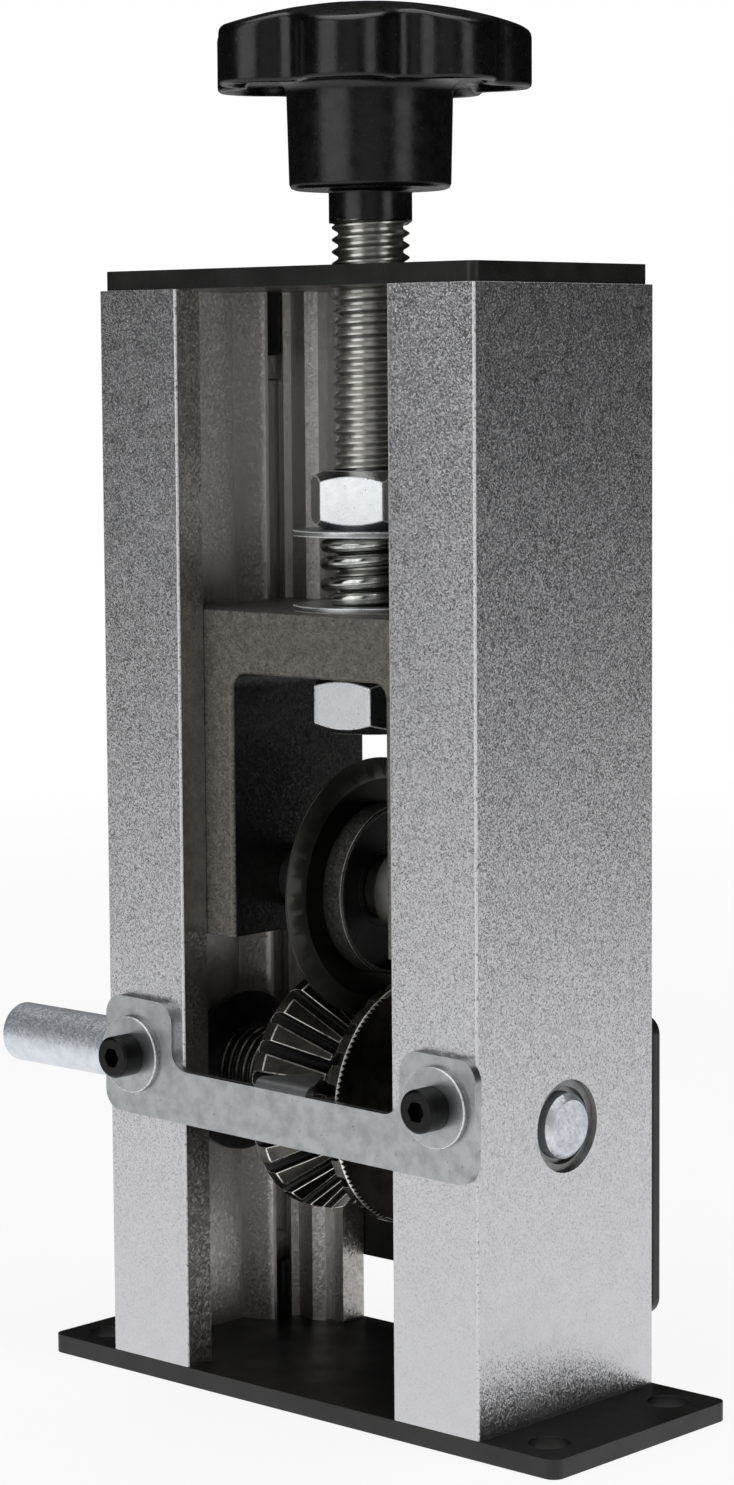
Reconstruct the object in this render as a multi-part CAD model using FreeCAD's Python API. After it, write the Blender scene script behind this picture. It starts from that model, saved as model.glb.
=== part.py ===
"""Bench wire stripper with a crank stub: a toothed V-groove roller under a round cutting wheel.

The frame is two mirrored aluminium C-channels bolted between a foot plate and a top plate.
A hand screw in the top plate presses a sliding block, which carries the cutting wheel, down
towards the groove between two toothed cone wheels on the drive shaft.

Millimetres. +Z is up, +X points away from the crank side, the wire is fed along +Y.
The origin is the centre of the foot plate's underside.
"""

import FreeCAD, Part
import math
import os

from FreeCAD import Rotation, Vector

X_AXIS = Vector(1, 0, 0)
Y_AXIS = Vector(0, 1, 0)
Z_AXIS = Vector(0, 0, 1)

# ---------------------------------------------------------------- driving dimensions
# Frame
body_width = 82.3
body_depth = 44.0
channel_height = 180.0
edge_radius = 0.4

foot_thickness = 3.2
foot_overhang = 15.5
foot_corner_radius = 2.0
bench_hole_diameter = 6.8
bench_hole_edge = 6.9
bench_hole_spacing_y = 30.0

cap_thickness = 3.2
cap_inset = 0.5
cap_corner_radius = 1.5

# Channel extrusion
web = 2.3
flange = 5.6
flange_width = 17.9
port_from_side = 5.5
port_from_face = 9.9
port_core_diameter = 4.2
port_slot = 3.4
port_lip = 2.0
port_web_reach = 5.0
port_shoulder = 1.1
port_wall = 1.4
port_lip_chamfer = 0.7
port_lip_step = 0.4
ridge_height = 2.4
ridge_from_end = 2.9
ridge_crest = 2.2
ridge_crest_chamfer = 1.0
ridge_root_rise = 1.5
ridge_root_step = 1.2
tap_depth = 14.6

# Screws
end_screw_diameter = 5.0
end_screw_length = 14.0
end_screw_head = 9.4
end_screw_socket = 3.0
thread_clearance = 0.05
clearance_hole = 0.4
guide_screw_diameter = 4.0
guide_screw_length = 10.0
guide_screw_head = 7.0
guide_screw_head_height = 4.0
guide_screw_socket = 3.0
guide_screw_spacing = 68.2
guide_screw_height = 55.6
guide_washer_diameter = 13.0
guide_washer_thickness = 1.0
rear_screw_length = 8.0
rear_screw_head = 7.6
rear_screw_head_height = 2.2
rear_screw_socket = 2.5
rear_screw_height = 57.4

# Drive shaft and its bushes
shaft_diameter = 10.6
shaft_height = 49.8
shaft_stub = 47.0
shaft_end_proud = 0.7
shaft_chamfer = 1.0
shaft_clip_diameter = 17.0
shaft_clip_thickness = 1.0
shaft_groove = 0.5
running_clearance = 0.06
bush_spigot = 15.0
bush_recess = 1.0
bush_flange_diameter = 24.0
bush_flange_thickness = 1.9
bush_mouth_diameter = 12.4
bush_mouth_depth = 0.9

# Toothed cone wheels
groove_radius = 13.0
groove_depth = 7.5
rim_width = 2.4
rim_chamfer = 0.5
tooth_count = 24
slot_width = 2.2
slot_depth = 1.3
slot_phase = 2.6
slot_root_radius = 0.6
wheel_gap = 0.2
key_width = 3.0
key_rise = 1.4
key_sunk = 1.6
roller_washer_diameter = 27.6
roller_washer_thickness = 1.3
roller_spring_diameter = 17.2
roller_spring_wire = 1.2
roller_spring_turns = 11
spacer_wall = 2.6
seat_clearance = 0.1

# Pressing block
block_width = 64.3
block_slide_clearance = 0.2
block_top = 130.6
block_arm_end = 76.2
block_bridge = 10.35
block_window = 34.1
block_window_radius = 2.6
block_edge = 0.5
ridge_clearance = 0.5

# Cutting wheel
blade_diameter = 43.0
blade_height = 84.6
blade_thickness = 2.6
blade_bevel = 3.4
blade_edge = 0.3
hub_diameter = 28.2
hub_width = 10.8
hub_edge = 0.3
hub_recess_diameter = 26.8
hub_recess_depth = 3.0
blade_bush_diameter = 13.0
axle_diameter = 9.0
axle_head_diameter = 14.0
axle_head_thickness = 2.2
axle_tail = 2.4
clip_thickness = 1.0
clip_diameter = 13.0
clip_groove = 1.0
blade_spacer_diameter = 15.0
blade_spacer_nose = 10.8
blade_spacer_shoulder = 6.5

# Pressing screw, nuts, washers and spring
press_diameter = 12.7
press_hole_clearance = 0.5
nut_across_flats = 19.0
upper_nut_height = 9.7
lower_nut_height = 9.6
nut_crown = 1.5
press_washer_diameter = 26.4
press_washer_thickness = 1.0
press_spring_length = 11.3
press_spring_diameter = 17.4
press_spring_wire = 2.35
press_spring_turns = 3
upper_nut_turn = 21.0
lower_nut_turn = 9.0

# Star knob
knob_lobes = 7
knob_diameter = 52.8
knob_valley_diameter = 43.2
knob_lobe_radius = 8.0
knob_underside = 215.2
knob_rim_height = 9.2
knob_dome_radius = 78.0
knob_hub_top = 27.2
knob_hub_bottom = 26.4
knob_hub_length = 16.2
knob_neck_diameter = 13.6
knob_neck_length = 5.8
knob_rod_depth = 24.0
knob_edge_radius = 0.9
knob_turn = -6.0

# Front guide
guide_thickness = 1.5
guide_width = 82.5
guide_shift = 0.7
guide_bottom = 44.7
guide_bar_height = 8.8
guide_ear_height = 19.8
guide_ear_width = 15.7
guide_corner_radius = 3.5
guide_slot_width = 4.4
guide_slot_travel = 5.8
guide_slot_below = 3.5
guide_tilt = 1.2
tongue_root = 11.4
tongue_tip = 2.4
tongue_reach = 9.3
tongue_rise = 1.5
tongue_bend = 0.6

# Rear cover
rear_thickness = 2.0
rear_bottom = 14.2
rear_top = 64.2
rear_corner_radius = 3.0

# ---------------------------------------------------------------- derived places
half_width = body_width / 2
half_depth = body_depth / 2
channel_top = foot_thickness + channel_height
cap_top = channel_top + cap_thickness
port_x = half_width - port_from_side
port_y = half_depth - port_from_face
press_radius = press_diameter / 2
rim_radius = groove_radius + groove_depth
wheel_length = groove_depth + rim_width
bush_seat = half_width - port_from_side - port_lip
bush_inner_face = bush_seat - bush_flange_thickness


# ---------------------------------------------------------------- helpers
def circle_face(radius, centre=Vector(0, 0, 0), normal=Z_AXIS):
    """A flat disc."""
    return Part.Face(Part.Wire(Part.makeCircle(radius, centre, normal)))


def rounded_face(corners):
    """A flat face in XY from (x, y, radius) corners, each rounded by a tangent arc."""
    points = [Vector(x, y, 0) for x, y, _ in corners]
    edges = []
    ends = []
    for i, (_, _, radius) in enumerate(corners):
        here = points[i]
        back = (points[i - 1] - here).normalize()
        ahead = (points[(i + 1) % len(points)] - here).normalize()
        if radius <= 0:
            ends.append((here, None, here))
            continue
        half_angle = back.getAngle(ahead) / 2
        reach = radius / math.tan(half_angle)
        bisector = (back + ahead).normalize()
        centre = here + bisector * (radius / math.sin(half_angle))
        ends.append((here + back * reach, centre - bisector * radius, here + ahead * reach))
    for i, (start, middle, end) in enumerate(ends):
        if middle is not None:
            edges.append(Part.Arc(start, middle, end).toShape())
        following = ends[(i + 1) % len(ends)][0]
        if end.distanceToPoint(following) > 1e-6:
            edges.append(Part.LineSegment(end, following).toShape())
    return Part.Face(Part.Wire(edges))


def box_face(width, depth, radius):
    """A centred rectangle with rounded corners."""
    x = width / 2
    y = depth / 2
    return rounded_face([(-x, -y, radius), (x, -y, radius), (x, y, radius), (-x, y, radius)])


def slot_face(width, travel):
    """An upright slot whose lower end's centre is the origin."""
    r = width / 2
    edges = [
        Part.LineSegment(Vector(r, 0, 0), Vector(r, travel, 0)).toShape(),
        Part.Arc(Vector(r, travel, 0), Vector(0, travel + r, 0), Vector(-r, travel, 0)).toShape(),
        Part.LineSegment(Vector(-r, travel, 0), Vector(-r, 0, 0)).toShape(),
        Part.Arc(Vector(-r, 0, 0), Vector(0, -r, 0), Vector(r, 0, 0)).toShape(),
    ]
    return Part.Face(Part.Wire(edges))


def upright(shape, back_y):
    """Stands a shape drawn flat in XY and raised by +Z up in XZ, its back at back_y."""
    shape = shape.copy()
    shape.rotate(Vector(0, 0, 0), X_AXIS, 90)
    shape.translate(Vector(0, back_y, 0))
    return shape


def moved(shape, x=0.0, y=0.0, z=0.0):
    """A copy of a shape, shifted."""
    copy = shape.copy()
    copy.translate(Vector(x, y, z))
    return copy


def turned(shape, angle, axis=Z_AXIS, centre=Vector(0, 0, 0)):
    """A copy of a shape, rotated in degrees about an axis."""
    copy = shape.copy()
    copy.rotate(centre, axis, angle)
    return copy


def revolved(outline, axis):
    """A turned part from an (along, radius) outline, about the X or Z axis."""
    if axis == X_AXIS:
        points = [Vector(along, 0, radius) for along, radius in outline]
    else:
        points = [Vector(radius, 0, along) for along, radius in outline]
    face = Part.Face(Part.makePolygon(points + points[:1]))
    return face.revolve(Vector(0, 0, 0), axis, 360)


def rod(radius, start, end, axis=Z_AXIS):
    """A cylinder on an axis through the origin, from start to end."""
    return Part.makeCylinder(radius, end - start, axis * start, axis)


def tube(outer, inner, start, end, axis=Z_AXIS):
    """A plain ring on an axis through the origin."""
    return rod(outer, start, end, axis).cut(rod(inner, start - 1, end + 1, axis))


def hexagon(across_flats, height):
    """An upright hexagonal prism on the Z axis."""
    radius = across_flats / math.sqrt(3)
    corners = [(math.radians(60 * i), radius) for i in range(6)]
    points = [Vector(r * math.cos(a), r * math.sin(a), 0) for a, r in corners]
    return Part.Face(Part.makePolygon(points + points[:1])).extrude(Vector(0, 0, height))


def mirrored_x(shape):
    """The shape's twin on the other side of the YZ plane."""
    return shape.mirror(Vector(0, 0, 0), X_AXIS)


def on_shaft(shape):
    """Lifts a part turned about the X axis to the drive shaft's height."""
    return moved(shape, z=shaft_height)


def coil(diameter, wire_diameter, length, turns):
    """A round-wire spring standing on Z = 0: tangent half-turns, each in its own tilted plane."""
    wire = wire_diameter / 2
    mean = diameter / 2 - wire
    half_turns = round(2 * turns)
    rise = (length - wire_diameter) / half_turns
    halves = []
    for i in range(half_turns):
        side = 1 if i % 2 == 0 else -1
        start = Vector(side * mean, 0, wire + rise * i)
        centre = Vector(0, 0, wire + rise * (i + 0.5))
        axis = Vector(side * rise, 0, 2 * mean)
        halves.append(circle_face(wire, start, Y_AXIS).revolve(centre, axis, 180))
    return halves[0].multiFuse(halves[1:]).removeSplitter()


# ---------------------------------------------------------------- frame
def channel_profile():
    """Section of the left channel: web, two flanges with a guide ridge, two screw ports."""
    core = port_core_diameter / 2
    half_slot = port_slot / 2
    slot_start = port_from_side + math.sqrt(core * core - half_slot * half_slot)
    lip_end = port_from_side + port_lip
    ridge_end = flange_width - ridge_from_end
    lower = port_from_face + half_slot
    upper = port_from_face - half_slot
    quarter = [
        (web, port_from_face + port_web_reach),
        (port_from_side + port_shoulder, lower + port_wall),
        (lip_end, lower + port_lip_chamfer),
        (lip_end, lower),
        (slot_start, lower),
    ]
    ceiling = [
        (slot_start, upper),
        (lip_end + port_lip_step, upper),
        (lip_end + ridge_root_step, flange + ridge_root_rise),
        (ridge_end - ridge_crest, flange + ridge_height),
        (ridge_end, flange + ridge_height - ridge_crest_chamfer),
        (ridge_end, flange),
        (flange_width, flange),
        (flange_width, 0.0),
    ]

    def place(u, v, side):
        return Vector(-half_width + u, side * (half_depth - v), 0)

    edges = []
    for side in (1, -1):
        front = [place(u, v, side) for u, v in quarter]
        back = [place(u, v, side) for u, v in ceiling]
        outer = place(0.0, 0.0, side)
        edges += [Part.LineSegment(a, b).toShape() for a, b in zip(front, front[1:])]
        far = place(port_from_side - core, port_from_face, side)
        edges.append(Part.Arc(front[-1], far, back[0]).toShape())
        edges += [Part.LineSegment(a, b).toShape() for a, b in zip(back, back[1:])]
        edges.append(Part.LineSegment(back[-1], outer).toShape())
    inner_ends = [place(*quarter[0], side) for side in (1, -1)]
    outer_ends = [place(0.0, 0.0, side) for side in (1, -1)]
    edges.append(Part.LineSegment(*inner_ends).toShape())
    edges.append(Part.LineSegment(*outer_ends).toShape())
    return Part.Face(Part.Wire(Part.__sortEdges__(edges)))


def tapped_port(z, direction):
    """Thread space in a screw port, from the channel's end at z inwards."""
    radius = end_screw_diameter / 2 + thread_clearance
    depth = tap_depth
    straight = rod(radius, 0, depth)
    cone = Part.makeCone(radius, 0.2, radius, Vector(0, 0, depth), Z_AXIS)
    tool = straight.fuse(cone)
    if direction < 0:
        tool = turned(tool, 180, X_AXIS)
    return moved(tool, z=z)


def left_channel():
    """One C-channel with its shaft hole, tapped ports and tapped flange holes."""
    shape = channel_profile().extrude(Vector(0, 0, channel_height))
    shape.translate(Vector(0, 0, foot_thickness))
    corners = [
        edge
        for edge in shape.Edges
        if abs(edge.BoundBox.ZLength - channel_height) < 1e-3
        and abs(abs(edge.CenterOfMass.y) - half_depth) < 1e-3
    ]
    shape = shape.makeFillet(edge_radius, corners)
    tools = [on_shaft(rod(bush_spigot / 2, -half_width - 1, -bush_seat + 1, X_AXIS))]
    for y in (-port_y, port_y):
        tools.append(moved(tapped_port(foot_thickness, 1), x=-port_x, y=y))
        tools.append(moved(tapped_port(channel_top, -1), x=-port_x, y=y))
    hole = guide_screw_diameter / 2 + thread_clearance
    reach = flange + ridge_height
    x = -guide_screw_spacing / 2
    front = Part.makeCylinder(hole, reach, Vector(x, -half_depth, guide_screw_height), Y_AXIS)
    rear = Part.makeCylinder(hole, reach, Vector(x, half_depth, rear_screw_height), -Y_AXIS)
    return shape.cut(tools + [front, rear])


def countersunk_screw(length):
    """An end screw, head up: top of the head at Z = 0, shank downwards."""
    head = end_screw_head / 2
    shank = end_screw_diameter / 2
    head_height = head - shank
    outline = [
        (0.0, 0.0),
        (0.0, head - 0.2),
        (-0.3, head),
        (-0.3 - head_height, shank),
        (-length + 0.6, shank),
        (-length, shank - 0.6),
        (-length, 0.0),
    ]
    socket = moved(hexagon(end_screw_socket, 2.0), z=-1.9)
    return revolved(outline, Z_AXIS).cut(socket)


def countersink(length):
    """Clearance for an end screw through a plate, opening upwards at Z = 0."""
    head = end_screw_head / 2 + clearance_hole / 4
    shank = (end_screw_diameter + clearance_hole) / 2
    outline = [
        (0.5, 0.0),
        (0.5, head),
        (-0.35, head),
        (-0.35 - (head - shank), shank),
        (-length, shank),
        (-length, 0.0),
    ]
    return revolved(outline, Z_AXIS)


def at_ports(shape):
    """Four copies of a shape, one on each screw port's axis."""
    return [moved(shape, x=x, y=y) for x in (-port_x, port_x) for y in (-port_y, port_y)]


def foot_plate():
    """Foot with four bench holes and four countersinks underneath."""
    width = body_width + 2 * foot_overhang
    plate = box_face(width, body_depth, foot_corner_radius).extrude(Vector(0, 0, foot_thickness))
    hole_x = width / 2 - bench_hole_edge
    hole_y = bench_hole_spacing_y / 2
    hole = rod(bench_hole_diameter / 2, -1, foot_thickness + 1)
    tools = [moved(hole, x=x, y=y) for x in (-hole_x, hole_x) for y in (-hole_y, hole_y)]
    sink = turned(countersink(foot_thickness + 1), 180, X_AXIS)
    return plate.cut(tools + at_ports(sink))


def cap_plate():
    """Top plate with the pressing screw's threaded hole and four countersinks."""
    width = body_width - 2 * cap_inset
    depth = body_depth - 2 * cap_inset
    plate = box_face(width, depth, cap_corner_radius).extrude(Vector(0, 0, cap_thickness))
    plate.translate(Vector(0, 0, channel_top))
    screw_hole = rod(press_radius + thread_clearance, channel_top - 1, cap_top + 1)
    sinks = at_ports(moved(countersink(cap_thickness + 1), z=cap_top))
    return plate.cut([screw_hole] + sinks)


def cap_screws():
    """Four screws through the top plate into the ports."""
    return at_ports(moved(countersunk_screw(end_screw_length), z=cap_top))


def foot_screws():
    """Four screws through the foot into the ports."""
    return at_ports(turned(countersunk_screw(end_screw_length), 180, X_AXIS))


def left_bush():
    """Flanged bush: spigot through the web's hole, flange seated on the screw ports' lips."""
    outer_face = -half_width + bush_recess
    spigot = bush_spigot / 2
    bush_flange = bush_flange_diameter / 2
    bore = shaft_diameter / 2 + running_clearance
    mouth = bush_mouth_diameter / 2
    outline = [
        (outer_face, mouth),
        (outer_face, spigot),
        (-bush_seat, spigot),
        (-bush_seat, bush_flange),
        (-bush_inner_face - 0.6, bush_flange),
        (-bush_inner_face, bush_flange - 0.6),
        (-bush_inner_face, bore),
        (outer_face + bush_mouth_depth, bore),
        (outer_face + bush_mouth_depth, mouth),
    ]
    return on_shaft(revolved(outline, X_AXIS))


# ---------------------------------------------------------------- drive roller
clip_face = -half_width - seat_clearance


def drive_shaft():
    """Shaft from the crank's stub to the far side: a clip groove and a keyway for both wheels."""
    start = -half_width - shaft_stub
    end = half_width + shaft_end_proud
    radius = shaft_diameter / 2
    clip_start = clip_face - shaft_clip_thickness
    outline = [
        (start, 0.0),
        (start, radius - shaft_chamfer),
        (start + shaft_chamfer, radius),
        (clip_start, radius),
        (clip_start, radius - shaft_groove),
        (clip_face, radius - shaft_groove),
        (clip_face, radius),
        (end - shaft_chamfer, radius),
        (end, radius - shaft_chamfer),
        (end, 0.0),
    ]
    keyway = Part.makeBox(
        2 * wheel_length,
        key_width,
        key_sunk + 1,
        Vector(-wheel_length, -key_width / 2, radius - key_sunk),
    )
    return on_shaft(revolved(outline, X_AXIS).cut(keyway))


def retaining_ring(outer_radius, inner_radius, start, thickness):
    """Ring for a groove on an X shaft, open at the bottom so that it can be pushed on."""
    ring = tube(outer_radius, inner_radius, start, start + thickness, X_AXIS)
    mouth = Part.makeBox(
        thickness + 2,
        1.6 * inner_radius,
        2 * outer_radius,
        Vector(start - 1, -0.8 * inner_radius, -2 * outer_radius),
    )
    return ring.cut(mouth)


def shaft_clip():
    """Retaining ring outside the left channel that keeps the shaft from sliding in."""
    groove = shaft_diameter / 2 - shaft_groove
    start = clip_face - shaft_clip_thickness
    return on_shaft(retaining_ring(shaft_clip_diameter / 2, groove, start, shaft_clip_thickness))


def roller_key():
    """Feather key that turns both cone wheels and lets the left one slide."""
    radius = shaft_diameter / 2
    key = Part.makeBox(
        2 * wheel_length,
        key_width,
        key_sunk + key_rise,
        Vector(-wheel_length, -key_width / 2, radius - key_sunk),
    )
    return on_shaft(key)


def right_cone_wheel():
    """Cone wheel with milled slots between flat-topped teeth; small end at the groove."""
    near = wheel_gap / 2
    rim_start = groove_depth
    far = wheel_length
    bore = shaft_diameter / 2 + running_clearance
    outline = [
        (near, bore),
        (near, groove_radius + near),
        (rim_start, rim_radius),
        (far - rim_chamfer, rim_radius),
        (far, rim_radius - rim_chamfer),
        (far, bore),
    ]
    wheel = revolved(outline, X_AXIS)
    # Each slot's floor runs parallel to the cone and out through the rim's corner.
    half_slot = slot_width / 2
    section = rounded_face(
        [
            (-half_slot, -slot_depth, slot_root_radius),
            (half_slot, -slot_depth, slot_root_radius),
            (half_slot, slot_width, 0),
            (-half_slot, slot_width, 0),
        ]
    )
    length = 2.2 * math.hypot(groove_depth, groove_depth)
    tool = section.extrude(Vector(0, 0, length))
    tool.translate(Vector(0, 0, -length / 2))
    tool.rotate(Vector(0, 0, 0), X_AXIS, 90)
    tool.rotate(Vector(0, 0, 0), Z_AXIS, 90)
    tool.rotate(Vector(0, 0, 0), Y_AXIS, -45)
    tool.translate(Vector(groove_depth / 2, 0, groove_radius + groove_depth / 2))
    step = 360.0 / tooth_count
    slots = [turned(tool, step * i + slot_phase, X_AXIS) for i in range(tooth_count)]
    half_key = key_width / 2 + running_clearance
    keyway = Part.makeBox(
        far + 2,
        2 * half_key,
        shaft_diameter / 2 + key_rise + seat_clearance,
        Vector(-1, -half_key, 0),
    )
    return on_shaft(wheel.cut(slots + [keyway]))


def roller_washer():
    """Large washer between the left bush's flange and the roller's spring."""
    start = -bush_inner_face + seat_clearance
    ring = tube(
        roller_washer_diameter / 2,
        shaft_diameter / 2 + seat_clearance,
        start,
        start + roller_washer_thickness,
        X_AXIS,
    )
    return on_shaft(ring)


def roller_spring():
    """Coil spring that presses the left cone wheel towards the right one."""
    start = -bush_inner_face + seat_clearance + roller_washer_thickness
    length = -wheel_length - start
    spring = coil(roller_spring_diameter, roller_spring_wire, length, roller_spring_turns)
    return on_shaft(moved(turned(spring, 90, Y_AXIS), x=start))


def roller_spacer():
    """Sleeve on the shaft that holds the right cone wheel off the right bush."""
    radius = shaft_diameter / 2
    sleeve = tube(
        radius + spacer_wall,
        radius + running_clearance,
        wheel_length,
        bush_inner_face - seat_clearance,
        X_AXIS,
    )
    return on_shaft(sleeve)


# ---------------------------------------------------------------- pressing block and cutting wheel
window_top = block_top - block_bridge
block_half_depth = half_depth - flange - block_slide_clearance


def pressure_block():
    """Inverted-U block: full depth between the flanges, stepped back beside their ridges."""
    half = block_width / 2
    step_x = half_width - flange_width + ridge_from_end - ridge_clearance
    step_y = half_depth - flange - ridge_height - ridge_clearance
    plan = rounded_face(
        [
            (-half, -step_y, block_edge),
            (-step_x, -step_y, 0),
            (-step_x, -block_half_depth, block_edge),
            (step_x, -block_half_depth, block_edge),
            (step_x, -step_y, 0),
            (half, -step_y, block_edge),
            (half, step_y, block_edge),
            (step_x, step_y, 0),
            (step_x, block_half_depth, block_edge),
            (-step_x, block_half_depth, block_edge),
            (-step_x, step_y, 0),
            (-half, step_y, block_edge),
        ]
    )
    block = moved(plan.extrude(Vector(0, 0, block_top - block_arm_end)), z=block_arm_end)
    window_x = block_window / 2
    window = rounded_face(
        [
            (-window_x, foot_thickness, 0),
            (window_x, foot_thickness, 0),
            (window_x, window_top, block_window_radius),
            (-window_x, window_top, block_window_radius),
        ]
    )
    window = upright(window.extrude(Vector(0, 0, body_depth)), half_depth)
    screw_hole = rod(press_radius + press_hole_clearance, window_top - 1, block_top + 1)
    axle_hole = moved(rod(axle_diameter / 2, -half - 1, half + 1, X_AXIS), z=blade_height)
    block = block.cut([window, screw_hole, axle_hole])
    mouth = [
        edge
        for edge in block.Edges
        if abs(abs(edge.CenterOfMass.y) - block_half_depth) < 1e-3
        and abs(edge.CenterOfMass.x) <= window_x + 1e-3
        and block_arm_end + 1 < edge.CenterOfMass.z < window_top + 1e-3
    ]
    return block.makeChamfer(block_edge, mouth)


def blade_wheel():
    """Round cutting wheel: ground bevels, thick hub with a recessed face, bushed bore."""
    rim = blade_diameter / 2
    half = blade_thickness / 2
    hub_half = hub_width / 2
    hub = hub_diameter / 2
    recess = hub_recess_diameter / 2
    bore = blade_bush_diameter / 2
    floor = hub_half - hub_recess_depth
    side = [
        (blade_edge / 2, rim),
        (half, rim - blade_bevel),
        (half, hub),
        (hub_half - hub_edge, hub),
        (hub_half, hub - hub_edge),
        (hub_half, recess),
        (floor, recess),
        (floor, bore),
    ]
    outline = side + [(-x, r) for x, r in reversed(side)]
    return moved(revolved(outline, X_AXIS), z=blade_height)


def blade_bush():
    """Plain bearing pressed into the cutting wheel, running on the axle."""
    half = hub_width / 2 - hub_recess_depth
    ring = tube(blade_bush_diameter / 2, axle_diameter / 2 + running_clearance, -half, half, X_AXIS)
    return moved(ring, z=blade_height)


def left_blade_spacer():
    """Plain narrow sleeve on the axle between the left arm and the cutting wheel's bush."""
    start = hub_width / 2 - hub_recess_depth + seat_clearance
    bore = axle_diameter / 2 + running_clearance
    sleeve = tube(blade_spacer_nose / 2, bore, start, block_window / 2, X_AXIS)
    return moved(mirrored_x(sleeve), z=blade_height)


def right_blade_spacer():
    """Shouldered sleeve on the right: its narrow nose reaches into the hub's recess."""
    start = hub_width / 2 - hub_recess_depth + seat_clearance
    bore = axle_diameter / 2 + running_clearance
    outline = [
        (start, bore),
        (start, blade_spacer_nose / 2),
        (blade_spacer_shoulder, blade_spacer_nose / 2),
        (blade_spacer_shoulder, blade_spacer_diameter / 2),
        (block_window / 2, blade_spacer_diameter / 2),
        (block_window / 2, bore),
    ]
    return moved(revolved(outline, X_AXIS), z=blade_height)


def blade_axle():
    """Headed pin through both arms, with a groove for its retaining clip."""
    half = block_width / 2
    radius = axle_diameter / 2
    head = axle_head_diameter / 2
    groove_start = half + seat_clearance
    groove_end = groove_start + clip_thickness
    tail = half + axle_tail
    outline = [
        (-half - axle_head_thickness, 0.0),
        (-half - axle_head_thickness, head - 0.4),
        (-half - axle_head_thickness + 0.4, head),
        (-half, head),
        (-half, radius),
        (groove_start, radius),
        (groove_start, radius - clip_groove),
        (groove_end, radius - clip_groove),
        (groove_end, radius),
        (tail - 0.5, radius),
        (tail, radius - 0.5),
        (tail, 0.0),
    ]
    return moved(revolved(outline, X_AXIS), z=blade_height)


def axle_clip():
    """Retaining ring in the axle's groove, outside the right arm."""
    groove = axle_diameter / 2 - clip_groove
    start = block_width / 2 + seat_clearance
    return moved(retaining_ring(clip_diameter / 2, groove, start, clip_thickness), z=blade_height)


# ---------------------------------------------------------------- pressing screw
lower_washer_top = block_top + press_washer_thickness
spring_top = lower_washer_top + press_spring_length
upper_washer_top = spring_top + press_washer_thickness
press_screw_end = window_top - lower_nut_height
knob_hub_start = knob_underside - knob_hub_length
knob_start = knob_hub_start - knob_neck_length


def press_screw():
    """Threaded rod from inside the knob down to the lower nut, drawn at its major diameter."""
    start = press_screw_end
    end = knob_start + knob_rod_depth
    outline = [
        (start, 0.0),
        (start, press_radius - 1.0),
        (start + 1.0, press_radius),
        (end - 1.0, press_radius),
        (end, press_radius - 1.0),
        (end, 0.0),
    ]
    return revolved(outline, Z_AXIS)


def hex_nut(height, turn):
    """Nut with crowned corners, standing on Z = 0 and turned so many degrees."""
    corner = nut_across_flats / math.sqrt(3)
    inside = nut_across_flats / 2 - 0.2
    crown = [
        (0.0, 0.0),
        (0.0, inside),
        (nut_crown, corner + 0.2),
        (height - nut_crown, corner + 0.2),
        (height, inside),
        (height, 0.0),
    ]
    nut = hexagon(nut_across_flats, height).common(revolved(crown, Z_AXIS))
    return turned(nut.cut(rod(press_radius, -1, height + 1)), turn)


def press_washer():
    """Washer round the pressing screw, standing on Z = 0."""
    return tube(
        press_washer_diameter / 2,
        press_radius + press_hole_clearance,
        0,
        press_washer_thickness,
    )


def press_spring():
    """Stiff coil spring between the two washers."""
    spring = coil(press_spring_diameter, press_spring_wire, press_spring_length, press_spring_turns)
    return moved(spring, z=lower_washer_top)


def knob_outline():
    """Lobed face: tip arcs joined by tangent valley arcs."""
    tip = knob_lobe_radius
    tip_centre = knob_diameter / 2 - tip
    valley_bottom = knob_valley_diameter / 2
    half_step = math.pi / knob_lobes
    cosine = math.cos(half_step)
    # Valley radius from |tip centre - valley centre| = tip + valley.
    constant = tip_centre**2 + valley_bottom**2 - 2 * tip_centre * valley_bottom * cosine - tip**2
    slope = 2 * tip - 2 * valley_bottom + 2 * tip_centre * cosine
    valley = constant / slope
    valley_centre = valley_bottom + valley

    def polar(radius, angle):
        return Vector(radius * math.cos(angle), radius * math.sin(angle), 0)

    edges = []
    for i in range(knob_lobes):
        angle = 2 * half_step * i
        lobe = polar(tip_centre, angle)
        before = polar(valley_centre, angle - half_step)
        after = polar(valley_centre, angle + half_step)
        enter = lobe + (before - lobe).normalize() * tip
        leave = lobe + (after - lobe).normalize() * tip
        next_lobe = polar(tip_centre, angle + 2 * half_step)
        next_enter = next_lobe + (after - next_lobe).normalize() * tip
        edges.append(Part.Arc(enter, polar(knob_diameter / 2, angle), leave).toShape())
        edges.append(Part.Arc(leave, polar(valley_bottom, angle + half_step), next_enter).toShape())
    return Part.Face(Part.Wire(edges))


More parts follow.
